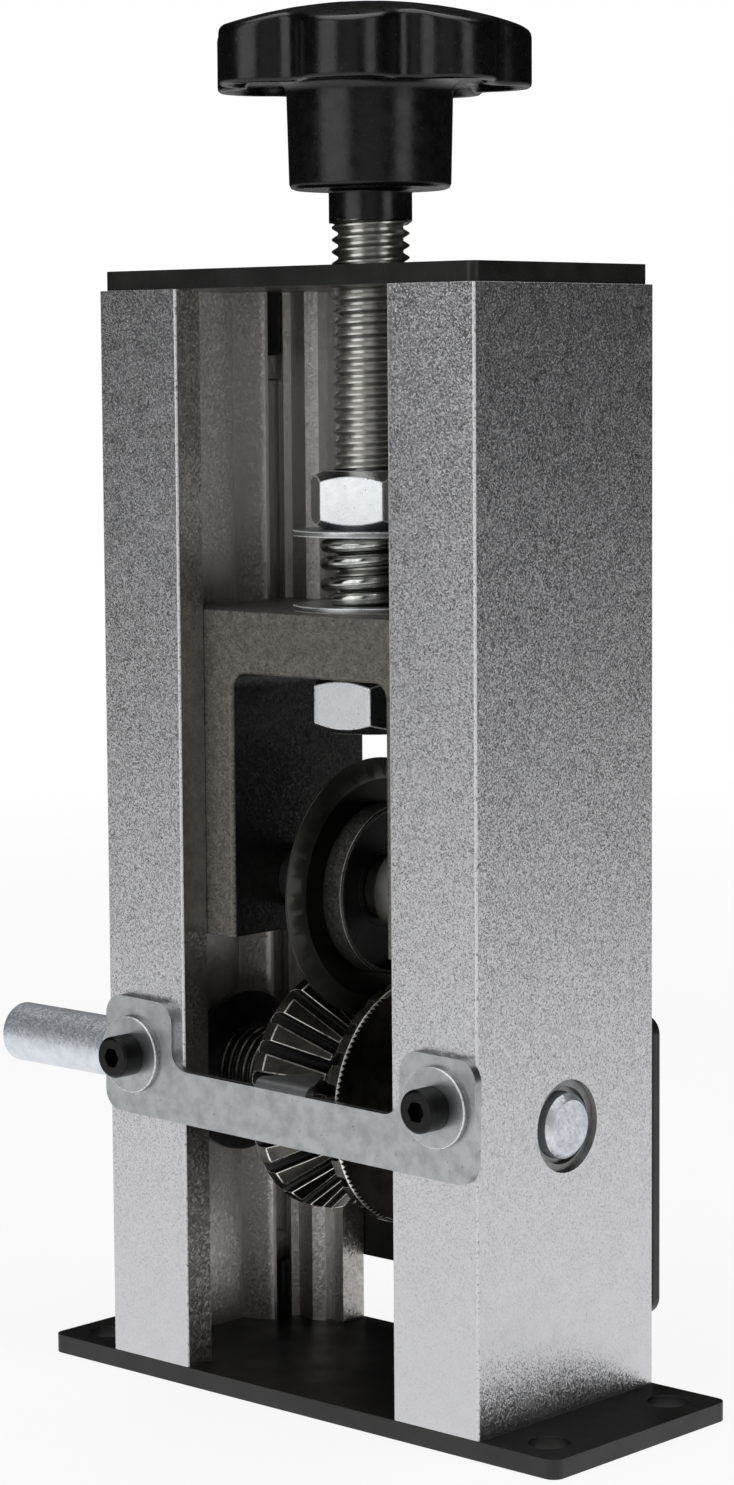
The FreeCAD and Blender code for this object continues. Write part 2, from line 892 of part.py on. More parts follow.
def star_knob():
    """Moulded star knob: lobed head under a shallow dome, tapered hub, thin neck."""
    rim_top = knob_underside + knob_rim_height
    tip = knob_diameter / 2
    sag = knob_dome_radius - math.sqrt(knob_dome_radius**2 - tip**2)
    dome_top = rim_top + sag
    head = knob_outline().extrude(Vector(0, 0, dome_top - knob_underside + 1))
    head = turned(head, knob_turn)
    head.translate(Vector(0, 0, knob_underside))
    dome = Part.makeSphere(knob_dome_radius, Vector(0, 0, dome_top - knob_dome_radius))
    head = head.common(dome)
    rim_edges = [edge for edge in head.Edges if edge.BoundBox.ZMin > rim_top - 0.5]
    head = head.makeFillet(knob_edge_radius, rim_edges)
    hub = Part.makeCone(
        knob_hub_bottom / 2, knob_hub_top / 2, knob_hub_length, Vector(0, 0, knob_hub_start), Z_AXIS
    )
    hub_foot = [edge for edge in hub.Edges if edge.BoundBox.ZMax < knob_hub_start + 0.1]
    hub = hub.makeFillet(knob_edge_radius, hub_foot)
    neck = rod(knob_neck_diameter / 2, knob_start, knob_hub_start + 1)
    bore = rod(press_radius, knob_start - 1, knob_start + knob_rod_depth)
    return head.fuse([hub, neck]).removeSplitter().cut(bore)


# ---------------------------------------------------------------- front guide and rear cover
def front_guide():
    """Zinc-plated bracket: slotted ears, a low bar and a tongue bent back into the groove."""
    left = -guide_width / 2 + guide_shift
    right = guide_width / 2 + guide_shift
    bar_top = guide_bottom + guide_bar_height
    ear_top = guide_bottom + guide_ear_height
    r = guide_corner_radius
    outline = rounded_face(
        [
            (left, guide_bottom, r),
            (right, guide_bottom, r),
            (right, ear_top, r),
            (right - guide_ear_width, ear_top, r),
            (right - guide_ear_width, bar_top, r),
            (left + guide_ear_width, bar_top, r),
            (left + guide_ear_width, ear_top, r),
            (left, ear_top, r),
        ]
    )
    sheet = upright(outline.extrude(Vector(0, 0, guide_thickness)), -half_depth)
    slot = slot_face(guide_slot_width, guide_slot_travel).extrude(Vector(0, 0, 3 * guide_thickness))
    slot = upright(moved(slot, y=guide_screw_height - guide_slot_below), -half_depth + guide_thickness)
    slots = [moved(slot, x=side * guide_screw_spacing / 2) for side in (-1, 1)]

    # The tongue is bent from the bar's top edge and tapers towards the groove.
    outer_bend = tongue_bend + guide_thickness
    tongue_top = bar_top + tongue_rise
    front = -half_depth - guide_thickness
    strip = [
        (front, bar_top - outer_bend, 0),
        (-half_depth, bar_top - outer_bend, 0),
        (-half_depth, tongue_top - guide_thickness, tongue_bend),
        (front + tongue_reach, tongue_top - guide_thickness, 0),
        (front + tongue_reach, tongue_top, 0),
        (front, tongue_top, outer_bend),
    ]
    strip = rounded_face(strip).extrude(Vector(0, 0, tongue_root))
    strip = strip.transformGeometry(
        FreeCAD.Matrix(0, 0, 1, -tongue_root / 2, 1, 0, 0, 0, 0, 1, 0, 0, 0, 0, 0, 1)
    )
    taper_start = -half_depth + tongue_bend
    taper = Part.Face(
        Part.makePolygon(
            [
                Vector(-tongue_root / 2, front - 1, 0),
                Vector(tongue_root / 2, front - 1, 0),
                Vector(tongue_root / 2, taper_start, 0),
                Vector(tongue_tip / 2, front + tongue_reach, 0),
                Vector(-tongue_tip / 2, front + tongue_reach, 0),
                Vector(-tongue_root / 2, taper_start, 0),
                Vector(-tongue_root / 2, front - 1, 0),
            ]
        )
    ).extrude(Vector(0, 0, tongue_top + 1))
    tongue = strip.common(taper)
    guide = sheet.cut(slots).fuse(tongue).removeSplitter()
    return turned(guide, guide_tilt, Y_AXIS, Vector(0, 0, guide_screw_height))


def cap_head_screw():
    """Socket-head screw along +Y: the head's seat is on Y = 0, the head at -Y."""
    shank = guide_screw_diameter / 2
    head = guide_screw_head / 2
    outline = [
        (guide_screw_length, 0.0),
        (guide_screw_length, shank - 0.5),
        (guide_screw_length - 0.5, shank),
        (0.0, shank),
        (0.0, head),
        (-guide_screw_head_height + 0.4, head),
        (-guide_screw_head_height, head - 0.4),
        (-guide_screw_head_height, 0.0),
    ]
    socket = moved(hexagon(guide_screw_socket, 3.0), z=-guide_screw_head_height - 1)
    return turned(revolved(outline, Z_AXIS).cut(socket), -90, X_AXIS)


def button_screw():
    """Low domed screw along -Y: the head's seat is on Y = 0, the head at +Y."""
    shank = guide_screw_diameter / 2
    head = rear_screw_head / 2
    rise = rear_screw_head_height
    dome_radius = (head**2 + rise**2) / (2 * rise)
    dome = Part.makeSphere(dome_radius, Vector(0, 0, rise - dome_radius))
    body = rod(head, 0, rise).common(dome).fuse(rod(shank, -rear_screw_length, 0.1))
    socket = moved(hexagon(rear_screw_socket, 2.0), z=rise - 1.4)
    return turned(body.cut(socket), -90, X_AXIS)


def front_guide_screws():
    """Two cap screws through the guide's slots."""
    seat = -half_depth - guide_thickness - guide_washer_thickness
    return [
        moved(cap_head_screw(), x=side * guide_screw_spacing / 2, y=seat, z=guide_screw_height)
        for side in (-1, 1)
    ]


def front_guide_washers():
    """Two washers under the cap screws' heads."""
    ring = tube(
        guide_washer_diameter / 2,
        (guide_screw_diameter + clearance_hole) / 2,
        0,
        guide_washer_thickness,
    )
    ring = turned(ring, 90, X_AXIS)
    seat = -half_depth - guide_thickness
    return [moved(ring, x=side * guide_screw_spacing / 2, y=seat, z=guide_screw_height) for side in (-1, 1)]


def rear_cover():
    """Black sheet across the back of both channels, behind the roller."""
    r = rear_corner_radius
    outline = rounded_face(
        [
            (-half_width, rear_bottom, r),
            (half_width, rear_bottom, r),
            (half_width, rear_top, r),
            (-half_width, rear_top, r),
        ]
    )
    sheet = upright(outline.extrude(Vector(0, 0, rear_thickness)), half_depth + rear_thickness)
    hole = rod((guide_screw_diameter + clearance_hole) / 2, half_depth - 1, half_depth + rear_thickness + 1, Y_AXIS)
    holes = [moved(hole, x=side * guide_screw_spacing / 2, z=rear_screw_height) for side in (-1, 1)]
    return sheet.cut(holes)


def rear_cover_screws():
    """Two button-head screws through the cover."""
    seat = half_depth + rear_thickness
    return [
        moved(button_screw(), x=side * guide_screw_spacing / 2, y=seat, z=rear_screw_height)
        for side in (-1, 1)
    ]


# ---------------------------------------------------------------- assembly
def nodes():
    """Every node by name; a list is a group of separate solids."""
    channel = left_channel()
    bush = left_bush()
    cone = right_cone_wheel()
    return {
        "base_plate": foot_plate(),
        "top_plate": cap_plate(),
        "left_channel": channel,
        "right_channel": mirrored_x(channel),
        "top_plate_screws": cap_screws(),
        "base_plate_screws": foot_screws(),
        "left_bush": bush,
        "right_bush": mirrored_x(bush),
        "drive_shaft": drive_shaft(),
        "shaft_clip": shaft_clip(),
        "roller_key": roller_key(),
        "left_cone_wheel": mirrored_x(cone),
        "right_cone_wheel": cone,
        "roller_washer": roller_washer(),
        "roller_spring": roller_spring(),
        "roller_spacer": roller_spacer(),
        "pressure_block": pressure_block(),
        "blade_wheel": blade_wheel(),
        "blade_bush": blade_bush(),
        "left_blade_spacer": left_blade_spacer(),
        "right_blade_spacer": right_blade_spacer(),
        "blade_axle": blade_axle(),
        "axle_clip": axle_clip(),
        "press_screw": press_screw(),
        "star_knob": star_knob(),
        "upper_nut": moved(hex_nut(upper_nut_height, upper_nut_turn), z=upper_washer_top),
        "upper_washer": moved(press_washer(), z=spring_top),
        "press_spring": press_spring(),
        "lower_washer": moved(press_washer(), z=block_top),
        "lower_nut": moved(hex_nut(lower_nut_height, lower_nut_turn), z=window_top - lower_nut_height),
        "front_guide": front_guide(),
        "front_guide_screws": front_guide_screws(),
        "front_guide_washers": front_guide_washers(),
        "rear_cover": rear_cover(),
        "rear_cover_screws": rear_cover_screws(),
    }


def main():
    """Writes one STEP file per node."""
    os.makedirs("parts", exist_ok=True)
    for name, content in nodes().items():
        shape = Part.makeCompound(content) if isinstance(content, list) else content
        shape.exportStep(f"parts/{name}.step")
        solids = len(shape.Solids)
        print(f"{name}: {solids} solid(s), {shape.Volume:.0f} mm3, valid {shape.isValid()}")


main()
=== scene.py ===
"""Bench wire stripper: finishes, fine detail, studio and camera over the CAD frame.

Everything is in metres in the frame of the CAD: +Z up, +X away from the crank side, +Y the way
the wire is fed, with the origin under the middle of the foot plate. Values whose names end in _mm
are in millimetres.
"""

import logging
import math
from collections.abc import Callable, Iterable, Sequence
from dataclasses import dataclass
from enum import Enum

import bmesh
import bpy
from mathutils import Matrix, Vector


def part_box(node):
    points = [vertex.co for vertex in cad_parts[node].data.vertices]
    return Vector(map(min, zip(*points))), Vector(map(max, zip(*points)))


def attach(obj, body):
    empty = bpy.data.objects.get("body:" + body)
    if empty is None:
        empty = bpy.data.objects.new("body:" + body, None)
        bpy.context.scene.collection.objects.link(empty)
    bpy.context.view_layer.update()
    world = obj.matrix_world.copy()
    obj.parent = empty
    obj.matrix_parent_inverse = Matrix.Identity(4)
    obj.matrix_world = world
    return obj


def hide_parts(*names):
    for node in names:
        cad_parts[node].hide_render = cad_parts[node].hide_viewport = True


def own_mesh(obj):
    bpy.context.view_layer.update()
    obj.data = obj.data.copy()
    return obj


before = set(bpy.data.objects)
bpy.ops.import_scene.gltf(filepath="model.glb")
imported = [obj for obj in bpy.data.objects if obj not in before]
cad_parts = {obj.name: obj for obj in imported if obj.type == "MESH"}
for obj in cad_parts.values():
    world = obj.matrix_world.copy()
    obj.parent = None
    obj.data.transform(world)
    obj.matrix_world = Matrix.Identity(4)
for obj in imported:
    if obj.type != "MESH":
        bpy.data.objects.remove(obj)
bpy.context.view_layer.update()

MM = 0.001
INCH = 0.0254
MERGE_DISTANCE = 1e-6
FLAT_DEG = 0.4
BEVEL_SEGMENTS = 2
# Sockets of the Mix node when it mixes colours.
MIX_SHARE, MIX_FIRST, MIX_SECOND, MIX_RESULT = 0, 6, 7, 2
# Most of a noise pattern lies between these values.
LUMPS_LOW, LUMPS_HIGH = 0.32, 0.68
LUMPS_ROUGHNESS = 0.6
# Material indices of a refined piece: its edge finish, then its other finishes.
EDGE_INDEX, OTHER_INDEX, THIRD_INDEX = 1, 2, 3
# For one ring of a loft, the radius and the height at an angle.
Ring = Callable[[float], tuple[float, float]]
log = logging.getLogger("wire_stripper")


class Body(Enum):
    """The rigid bodies of the CAD frame."""

    FRAME = "frame"
    ROLLER = "drive_roller"
    LEFT_CONE = "left_cone"
    SEAT = "spring_seat"
    SCREW = "hand_screw"
    BLOCK = "sliding_block"
    BLADE = "cutting_wheel"
    GUIDE = "guide"


class Joint(Enum):
    """The joints that press a spring."""

    CONE_SLIDE = "left_cone_slide"
    BLOCK_GIVE = "block_give"


class Slot(Enum):
    """The material slots of the pieces."""

    BLACK_PLATE = "black_plate"
    BLACK_OXIDE = "black_oxide"
    ALUMINIUM = "channel_aluminium"
    ZINC_STEEL = "zinc_steel"
    BUSH_STEEL = "bush_steel"
    SHAFT_STEEL = "shaft_steel"
    TOOTH_STEEL = "tooth_steel"
    SPRING_STEEL = "spring_steel"
    BLADE_STEEL = "blade_steel"
    BLOCK_STEEL = "block_steel"
    PLASTIC = "knob_plastic"


# ---------------------------------------------------------------- colours, nodes and surfaces
def linear(hex_colour: str) -> tuple[float, float, float, float]:
    """Turns an sRGB hex colour into linear RGBA.

    Args:
        hex_colour: six hex digits, such as "C0C2C5".

    Returns:
        The linear colour with an alpha of 1.
    """
    channels = [int(hex_colour[i : i + 2], 16) / 255 for i in (0, 2, 4)]
    red, green, blue = (c / 12.92 if c <= 0.04045 else ((c + 0.055) / 1.055) ** 2.4 for c in channels)
    return red, green, blue, 1.0


def add_node(
    tree: bpy.types.NodeTree,
    kind: str,
    inputs: dict[str | int, object] | None = None,
    **settings: object,
) -> bpy.types.Node:
    """Adds a node with its settings and links.

    Args:
        tree: the node tree to add to.
        kind: the node's type name.
        inputs: socket name or number to a value, an output socket, or a node whose first
            output feeds it.
        **settings: the node's own properties.

    Returns:
        The new node.
    """
    node = tree.nodes.new(kind)
    for key, value in settings.items():
        setattr(node, key, value)
    for key, value in (inputs or {}).items():
        if isinstance(value, bpy.types.Node):
            value = value.outputs[0]
        if isinstance(value, bpy.types.NodeSocket):
            tree.links.new(value, node.inputs[key])
        else:
            node.inputs[key].default_value = value
    return node


class Surface:
    """One material while it is dressed: its shader, and the effects that finishes lay on it."""

    def __init__(self, name: str, colour: str, metallic: float, roughness: float) -> None:
        """Starts a material as one plain shader.

        Args:
            name: the material's name.
            colour: its base colour in sRGB hex.
            metallic: 1 for bare metal, 0 for plastic, paint and oxide.
            roughness: how much it spreads what it mirrors.
        """
        self.material = bpy.data.materials.new(name)
        self.material.use_nodes = True
        self.tree = self.material.node_tree
        self.shader = self.tree.nodes["Principled BSDF"]
        self.shader.inputs["Base Color"].default_value = linear(colour)
        self.shader.inputs["Metallic"].default_value = metallic
        self.shader.inputs["Roughness"].default_value = roughness
        self.colour: object = linear(colour)
        self.normal: bpy.types.Node | None = None

    def place(self, cell_mm: float | Sequence[float]) -> bpy.types.Node:
        """Object coordinates scaled so that one unit is one cell of a pattern.

        Args:
            cell_mm: the cell's size, or its sizes along X, Y and Z.

        Returns:
            The node that gives the scaled place.
        """
        coordinates = add_node(self.tree, "ShaderNodeTexCoord").outputs["Object"]
        sizes = (cell_mm,) * 3 if isinstance(cell_mm, float) else cell_mm
        scale = tuple(1.0 / (size * MM) for size in sizes)
        return add_node(self.tree, "ShaderNodeMapping", {"Vector": coordinates, "Scale": scale})

    def lumps(self, cell_mm: float | Sequence[float], detail: float = 2.0) -> bpy.types.Node:
        """An irregular pattern from 0 to 1.

        Args:
            cell_mm: the lumps' size, or their sizes along X, Y and Z.
            detail: how many finer layers lie on the lumps.

        Returns:
            The pattern's node.
        """
        inputs = {
            "Vector": self.place(cell_mm),
            "Scale": 1.0,
            "Detail": detail,
            "Roughness": LUMPS_ROUGHNESS,
        }
        return add_node(self.tree, "ShaderNodeTexNoise", inputs)

    def stain(self, pattern: bpy.types.Node, low: float, high: float, colour: str) -> None:
        """Tints the surface where a pattern is high, over earlier stains.

        Args:
            pattern: the pattern's node.
            low: the pattern's value where the stain starts.
            high: the value from which the stain is full.
            colour: the stain's colour in sRGB hex.
        """
        limits = {"Value": pattern, "From Min": low, "From Max": high}
        share = add_node(self.tree, "ShaderNodeMapRange", limits)
        colours = {MIX_SHARE: share, MIX_FIRST: self.colour, MIX_SECOND: linear(colour)}
        mixed = add_node(self.tree, "ShaderNodeMix", colours, data_type="RGBA")
        self.colour = mixed.outputs[MIX_RESULT]
        self.tree.links.new(self.colour, self.shader.inputs["Base Color"])

    def vary_gloss(self, pattern: bpy.types.Node, smooth: float, rough: float) -> None:
        """Lets the roughness follow a pattern.

        Args:
            pattern: the pattern's node.
            smooth: the roughness where the pattern is low.
            rough: the roughness where it is high.
        """
        inputs = {"Value": pattern, "From Min": LUMPS_LOW, "From Max": LUMPS_HIGH}
        inputs |= {"To Min": smooth, "To Max": rough}
        varied = add_node(self.tree, "ShaderNodeMapRange", inputs)
        self.tree.links.new(varied.outputs[0], self.shader.inputs["Roughness"])

    def relief(self, pattern: bpy.types.Node, depth_mm: float) -> None:
        """Raises the surface where a pattern is high, over earlier relief.

        Args:
            pattern: the pattern's node.
            depth_mm: the height from the pattern's 0 to its 1.
        """
        inputs: dict[str | int, object] = {"Height": pattern, "Strength": 1.0, "Distance": depth_mm * MM}
        if self.normal is not None:
            inputs["Normal"] = self.normal
        self.normal = add_node(self.tree, "ShaderNodeBump", inputs)
        self.tree.links.new(self.normal.outputs[0], self.shader.inputs["Normal"])

    def facets(self, grain_mm: float, tilt: float) -> None:
        """Breaks the surface into grains that each face their own way, as blasting does.

        Args:
            grain_mm: the grains' size.
            tilt: how far a grain leans, as a share of the normal's length.
        """
        tree = self.tree
        grains = add_node(tree, "ShaderNodeTexVoronoi", {"Vector": self.place(grain_mm), "Scale": 1.0})
        middle = {0: grains.outputs["Color"], 1: (0.5, 0.5, 0.5)}
        centred = add_node(tree, "ShaderNodeVectorMath", middle, operation="SUBTRACT")
        plain = add_node(tree, "ShaderNodeNewGeometry").outputs["Normal"]
        leaning = {0: centred, 1: (tilt, tilt, tilt), 2: plain}
        leaned = add_node(tree, "ShaderNodeVectorMath", leaning, operation="MULTIPLY_ADD")
        self.normal = add_node(tree, "ShaderNodeVectorMath", {0: leaned}, operation="NORMALIZE")
        tree.links.new(self.normal.outputs[0], self.shader.inputs["Normal"])


# ---------------------------------------------------------------- finishes
@dataclass(frozen=True)
class Finish:
    """A surface finish, which a subclass gives its pattern."""

    name: str
    colour: str
    metallic: float = 1.0
    roughness: float = 0.35

    def material(self) -> bpy.types.Material:
        """Builds the material at its first use.

        Returns:
            The one material of this finish.
        """
        known = bpy.data.materials.get(self.name)
        if known:
            return known
        surface = Surface(self.name, self.colour, self.metallic, self.roughness)
        self.dress(surface)
        return surface.material

    def dress(self, surface: Surface) -> None:
        """Adds the finish's pattern to a plain surface."""


@dataclass(frozen=True)
class SandblastedAnodised(Finish):
    """Anodised aluminium, sandblasted: a tight sparkle of tiny facets, each tilted its own way.

    The facets are drawn coarser than blasting leaves them, so that they show.
    """

    grit_mm: float = 0.2
    tilt: float = 0.23
    cloud_mm: float = 3.0
    swing: float = 0.03

    def dress(self, surface: Surface) -> None:
        """Facets that tilt the normal, over faint clouds in the gloss.

        Args:
            surface: the material being dressed.
        """
        clouds = surface.lumps(self.cloud_mm)
        surface.vary_gloss(clouds, self.roughness - self.swing, self.roughness + self.swing)
        surface.facets(self.grit_mm, self.tilt)


@dataclass(frozen=True)
class BlackCoatAndShade(Finish):
    """A black coat on steel: satin, with a faint orange peel and dull dusty patches; the same look
    serves as painted shade in slots and recesses.
    """

    peel_mm: float = 0.9
    depth_mm: float = 0.012
    dust: str = "1C1B1A"
    dust_mm: float = 0.5
    patch_mm: float = 9.0
    shinier: float = 0.05
    duller: float = 0.1

    def dress(self, surface: Surface) -> None:
        """Orange peel in the normal, patches in the gloss and fine dust in the colour.

        Args:
            surface: the material being dressed.
        """
        surface.relief(surface.lumps(self.peel_mm), self.depth_mm)
        patches = surface.lumps(self.patch_mm, detail=3.0)
        surface.vary_gloss(patches, self.roughness - self.shinier, self.roughness + self.duller)
        surface.stain(surface.lumps(self.dust_mm), low=0.5, high=0.7, colour=self.dust)


@dataclass(frozen=True)
class ZincPlate(Finish):
    """Bright zinc plating over rolled steel: bluish white, cloudy, with specks and fine scratches."""

    cloud_mm: float = 3.0
    cloud: str = "B9BDC2"
    speck: str = "8E9192"
    scratch_mm: tuple[float, float, float] = (7.0, 7.0, 0.12)
    pit_mm: float = 0.35
    pit_depth_mm: float = 0.006
    speck_mm: float = 0.7
    scratch_depth_mm: float = 0.003
    swing: float = 0.02

    def dress(self, surface: Surface) -> None:
        """Cloudy gloss and tint, dark specks, scratches and tiny pits.

        Args:
            surface: the material being dressed.
        """
        clouds = surface.lumps(self.cloud_mm, detail=4.0)
        surface.stain(clouds, low=0.38, high=0.66, colour=self.cloud)
        surface.stain(surface.lumps(self.speck_mm), low=0.68, high=0.78, colour=self.speck)
        surface.vary_gloss(clouds, self.roughness - self.swing, self.roughness + self.swing)
        surface.relief(surface.lumps(self.scratch_mm, detail=1.0), self.scratch_depth_mm)
        surface.relief(surface.lumps(self.pit_mm, detail=1.0), self.pit_depth_mm)


@dataclass(frozen=True)
class SpringWire(Finish):
    """Drawn spring wire under thin zinc: smooth, so that lamps show as long clean streaks."""

    cloud: str = "A9ABA6"
    cloud_mm: float = 1.6
    shinier: float = 0.03
    duller: float = 0.06

    def dress(self, surface: Surface) -> None:
        """Soft clouds in the tint and the gloss, and nothing in the normal.

        Args:
            surface: the material being dressed.
        """
        clouds = surface.lumps(self.cloud_mm)
        surface.stain(clouds, low=0.4, high=0.65, colour=self.cloud)
        surface.vary_gloss(clouds, self.roughness - self.shinier, self.roughness + self.duller)


@dataclass(frozen=True)
class TurnedSteel(Finish):
    """Steel turned on a lathe about X: fine rings of tool marks and a faint cloudiness."""

    ring_mm: float = 0.16
    depth_mm: float = 0.006
    cloud: str = "8C8F92"
    cloud_mm: float = 3.0
    length_mm: float = 60.0

    def dress(self, surface: Surface) -> None:
        """Tool-mark rings across X and clouds in the tint.

        Args:
            surface: the material being dressed.
        """
        rings = surface.lumps((self.ring_mm, self.length_mm, self.length_mm), detail=1.0)
        surface.relief(rings, self.depth_mm)
        surface.stain(surface.lumps(self.cloud_mm, detail=3.0), low=0.4, high=0.7, colour=self.cloud)


@dataclass(frozen=True)
class MottledZinc(Finish):
    """Dull zinc on a bright-drawn bar: bluish white, grainy, blotched where it has been handled."""

    cloud: str = "D9DEE5"
    grain_mm: float = 0.35
    tilt: float = 0.18
    blotch_mm: float = 2.2
    shinier: float = 0.03
    duller: float = 0.05

    def dress(self, surface: Surface) -> None:
        """Grains in the normal, blotches in tint and gloss.

        Args:
            surface: the material being dressed.
        """
        surface.facets(self.grain_mm, self.tilt)
        blotches = surface.lumps(self.blotch_mm, detail=4.0)
        surface.stain(blotches, low=0.42, high=0.62, colour=self.cloud)
        surface.vary_gloss(blotches, self.roughness - self.shinier, self.roughness + self.duller)


@dataclass(frozen=True)
class PaintedHighlightEdge(Finish):
    """An edge painted pale and half matt as a painted highlight, so that it shows bright from every
    side.
    """

    highlight_gap_mm: float = 0.5
    highlight_gap_colour: str = "8E8E8C"

    def dress(self, surface: Surface) -> None:
        """Tiny dark gaps that break the painted highlight."""
        surface.stain(surface.lumps(self.highlight_gap_mm), low=0.55, high=0.7, colour=self.highlight_gap_colour)


@dataclass(frozen=True)
class BlastedSteel(Finish):
    """Bare metal with a fine sandblasted skin: dull, warm and even, with sparse bright grains."""

    grain_mm: float = 0.3
    tilt: float = 0.35
    dark: str = "5A5652"
    mottle_mm: float = 1.6

    def dress(self, surface: Surface) -> None:
        """Matt grains in the normal and mottling in the colour."""
        surface.facets(self.grain_mm, self.tilt)
        surface.stain(surface.lumps(self.mottle_mm, detail=4.0), low=0.36, high=0.64, colour=self.dark)


@dataclass(frozen=True)
class MouldedPlastic(Finish):
    """Moulded black thermoplastic: soft gloss, a slight waviness and pale dust in scuffs."""

    wave_mm: float = 2.6
    scuff: str = "2E2E30"
    scuff_mm: float = 0.8
    wave_depth_mm: float = 0.03
    grain_mm: float = 0.5
    grain_depth_mm: float = 0.012
    shinier: float = 0.03
    duller: float = 0.06

    def dress(self, surface: Surface) -> None:
        """Waviness in the normal and the gloss, fine grain, and dusty specks in the colour.

        Args:
            surface: the material being dressed.
        """
        waves = surface.lumps(self.wave_mm)
        surface.relief(waves, self.wave_depth_mm)
        surface.relief(surface.lumps(self.grain_mm, detail=1.0), self.grain_depth_mm)
        surface.stain(surface.lumps(self.scuff_mm, detail=4.0), low=0.62, high=0.72, colour=self.scuff)
        surface.vary_gloss(waves, self.roughness - self.shinier, self.roughness + self.duller)


# Blasted extrusion: the outer faces sparkle and take the floor's white low down.
CHANNEL = SandblastedAnodised("sandblasted anodised aluminium", "CCCCCE", 1.0, 0.31)
# Inside the extrusion the blast hardly reached: smoother, duller and a little brown.
CHANNEL_INSIDE = SandblastedAnodised("plain anodised aluminium", "DEDBD8", 1.0, 0.42, 0.3, 0.16)
# The flanges' narrow ends are a saw's width and half blasted.
CHANNEL_TIP = BlastedSteel("half blasted aluminium", "BEBBB7", 1.0, 0.42, 0.3, 0.3, "A8A5A0")
# The extrusion's rounded corners are painted pale as a highlight line.
CHANNEL_HIGHLIGHT_EDGE = PaintedHighlightEdge("aluminium edge painted as highlight", "F2F2F4", 0.3, 0.45)
# Plates: black, satin, brownish with dust.
BLACK_COAT = BlackCoatAndShade("satin black powder coat", "121110", 0.0, 0.38, dust="201E1B")
# Guide and washers: bluish grey, nearly matt, smudged with darker clouds.
ZINC = ZincPlate("bright zinc plate", "BABCBE", 1.0, 0.36, 3.0, "A3A6A7", "747777", pit_depth_mm=0.008)
# Nuts: brighter and glossier than sheet, so that each flat shows one tone.
NUT_ZINC = ZincPlate("zinc plated nut", "E6E9EC", 1.0, 0.26, 2.0, "DCE0E4", "B4B8BC", pit_depth_mm=0.004)
# Rod thread: yellowish zinc, oily.
ZINC_THREAD = ZincPlate("zinc plated thread", "CFCFCA", 1.0, 0.3, cloud="BDBDB7")
# Crank stub: bluish white blotches on a dull grain.
SHAFT = MottledZinc("mottled zinc plated shaft", "E4E8EE", 1.0, 0.48)
# Bushes, sleeves and the key: oiled, mid grey. On the roller's zinc washer and the left blade spacer the
# same tone is painted shade.
OILED_STEEL_AND_SHADE = TurnedSteel("turned oiled steel and painted shade", "7A7976", 1.0, 0.34)
# Sleeve beside the cutting wheel: the same part as the left one, painted paler as the light that falls
# on it.
LIT_SLEEVE_STEEL = TurnedSteel("turned sleeve steel painted pale as light", "A8A7A3", 1.0, 0.4, cloud="9A9995")
# Cone wheels: dark hardened lands between black slots.
TOOTH = TurnedSteel("dark hardened steel", "5C5A55", 1.0, 0.34, cloud="403F3B")
# Faces down in the milled slots, painted near black as shade.
SLOT_SHADE = BlackCoatAndShade("slot floor painted as shade", "0E0D0C", 0.2, 0.5, dust="161513")
# Edges of the teeth: thin, broken lines painted nearly white as highlights.
TOOTH_HIGHLIGHT_EDGE = PaintedHighlightEdge("tooth edge painted as highlight", "FAF8F2", 0.8, 0.3, 0.9, "9A9284")
# Cutting wheel: dark ground disc; its ground bevel and the hub's edges are painted lighter as
# highlights.
BLADE = TurnedSteel("tool steel", "42413F", 1.0, 0.42, cloud="3A3937")
BLADE_BEVEL_HIGHLIGHT = TurnedSteel("ground bevel painted light", "8A8A85", 1.0, 0.38, cloud="878782")
BLADE_HUB = BlastedSteel("rough turned hub steel", "4A4947", 0.8, 0.5, dark="3A3938")
BLADE_HIGHLIGHT_EDGE = PaintedHighlightEdge("hub edge painted as highlight", "767571", 0.6, 0.4, 0.9, "3E3D3B")
# The hub's recesses and the bush deep inside them: painted black, no gloss, as shade.
RECESS_SHADE = BlackCoatAndShade("recess painted black as shade", "0B0B0C", 0.0, 0.5, dust="121212")
# Edges of zinc plated sheet, washers and nuts: a fine line painted bright as highlight.
ZINC_HIGHLIGHT_EDGE = PaintedHighlightEdge("zinc edge painted as highlight", "F4F5F6", 0.4, 0.3)
# Sliding block: warm grey, finely grained, even.
BLOCK = BlastedSteel("sandblasted block steel", "7E7B74", 0.7, 0.52, 0.22, 0.5, "6A6761")
# Inside of the block's window: painted near black as shade.
BLOCK_WINDOW_SHADE = BlastedSteel("window steel painted dark as shade", "2E2E2D", 0.7, 0.45, 0.3, 0.2, "262625")
# Pressing spring: pale wire with crisp white streaks; the roller's own spring, the same wire deep in the
# frame, is painted dark as shade.
SPRING = SpringWire("zinc plated spring wire", "C9CAC5", 1.0, 0.16)
SHADED_SPRING = SpringWire("spring wire painted dark as shade", "6C6B68", 1.0, 0.28, "5A5956")
# Screws and rings: black, a little glossy on the turned faces.
BLACK_OXIDE = BlackCoatAndShade("black oxide steel", "121212", 0.6, 0.34, dust="181818")
# Knob: deep black with narrow soft highlights.
PLASTIC = MouldedPlastic("moulded black plastic", "0A0A0B", 0.0, 0.26)


# ---------------------------------------------------------------- mesh helpers
def merged_copy(node: str) -> bmesh.types.BMesh:
    """A copy of a CAD node as one connected skin with its flat faces whole.

    Args:
        node: the CAD node's name.

    Returns:
        The merged mesh.
    """
    mesh = bmesh.new()
    mesh.from_mesh(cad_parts[node].data)
    bmesh.ops.remove_doubles(mesh, verts=mesh.verts, dist=MERGE_DISTANCE)
    bmesh.ops.dissolve_limit(
        mesh, angle_limit=math.radians(FLAT_DEG), verts=mesh.verts, edges=mesh.edges
    )
    bmesh.ops.recalc_face_normals(mesh, faces=mesh.faces)
    return mesh


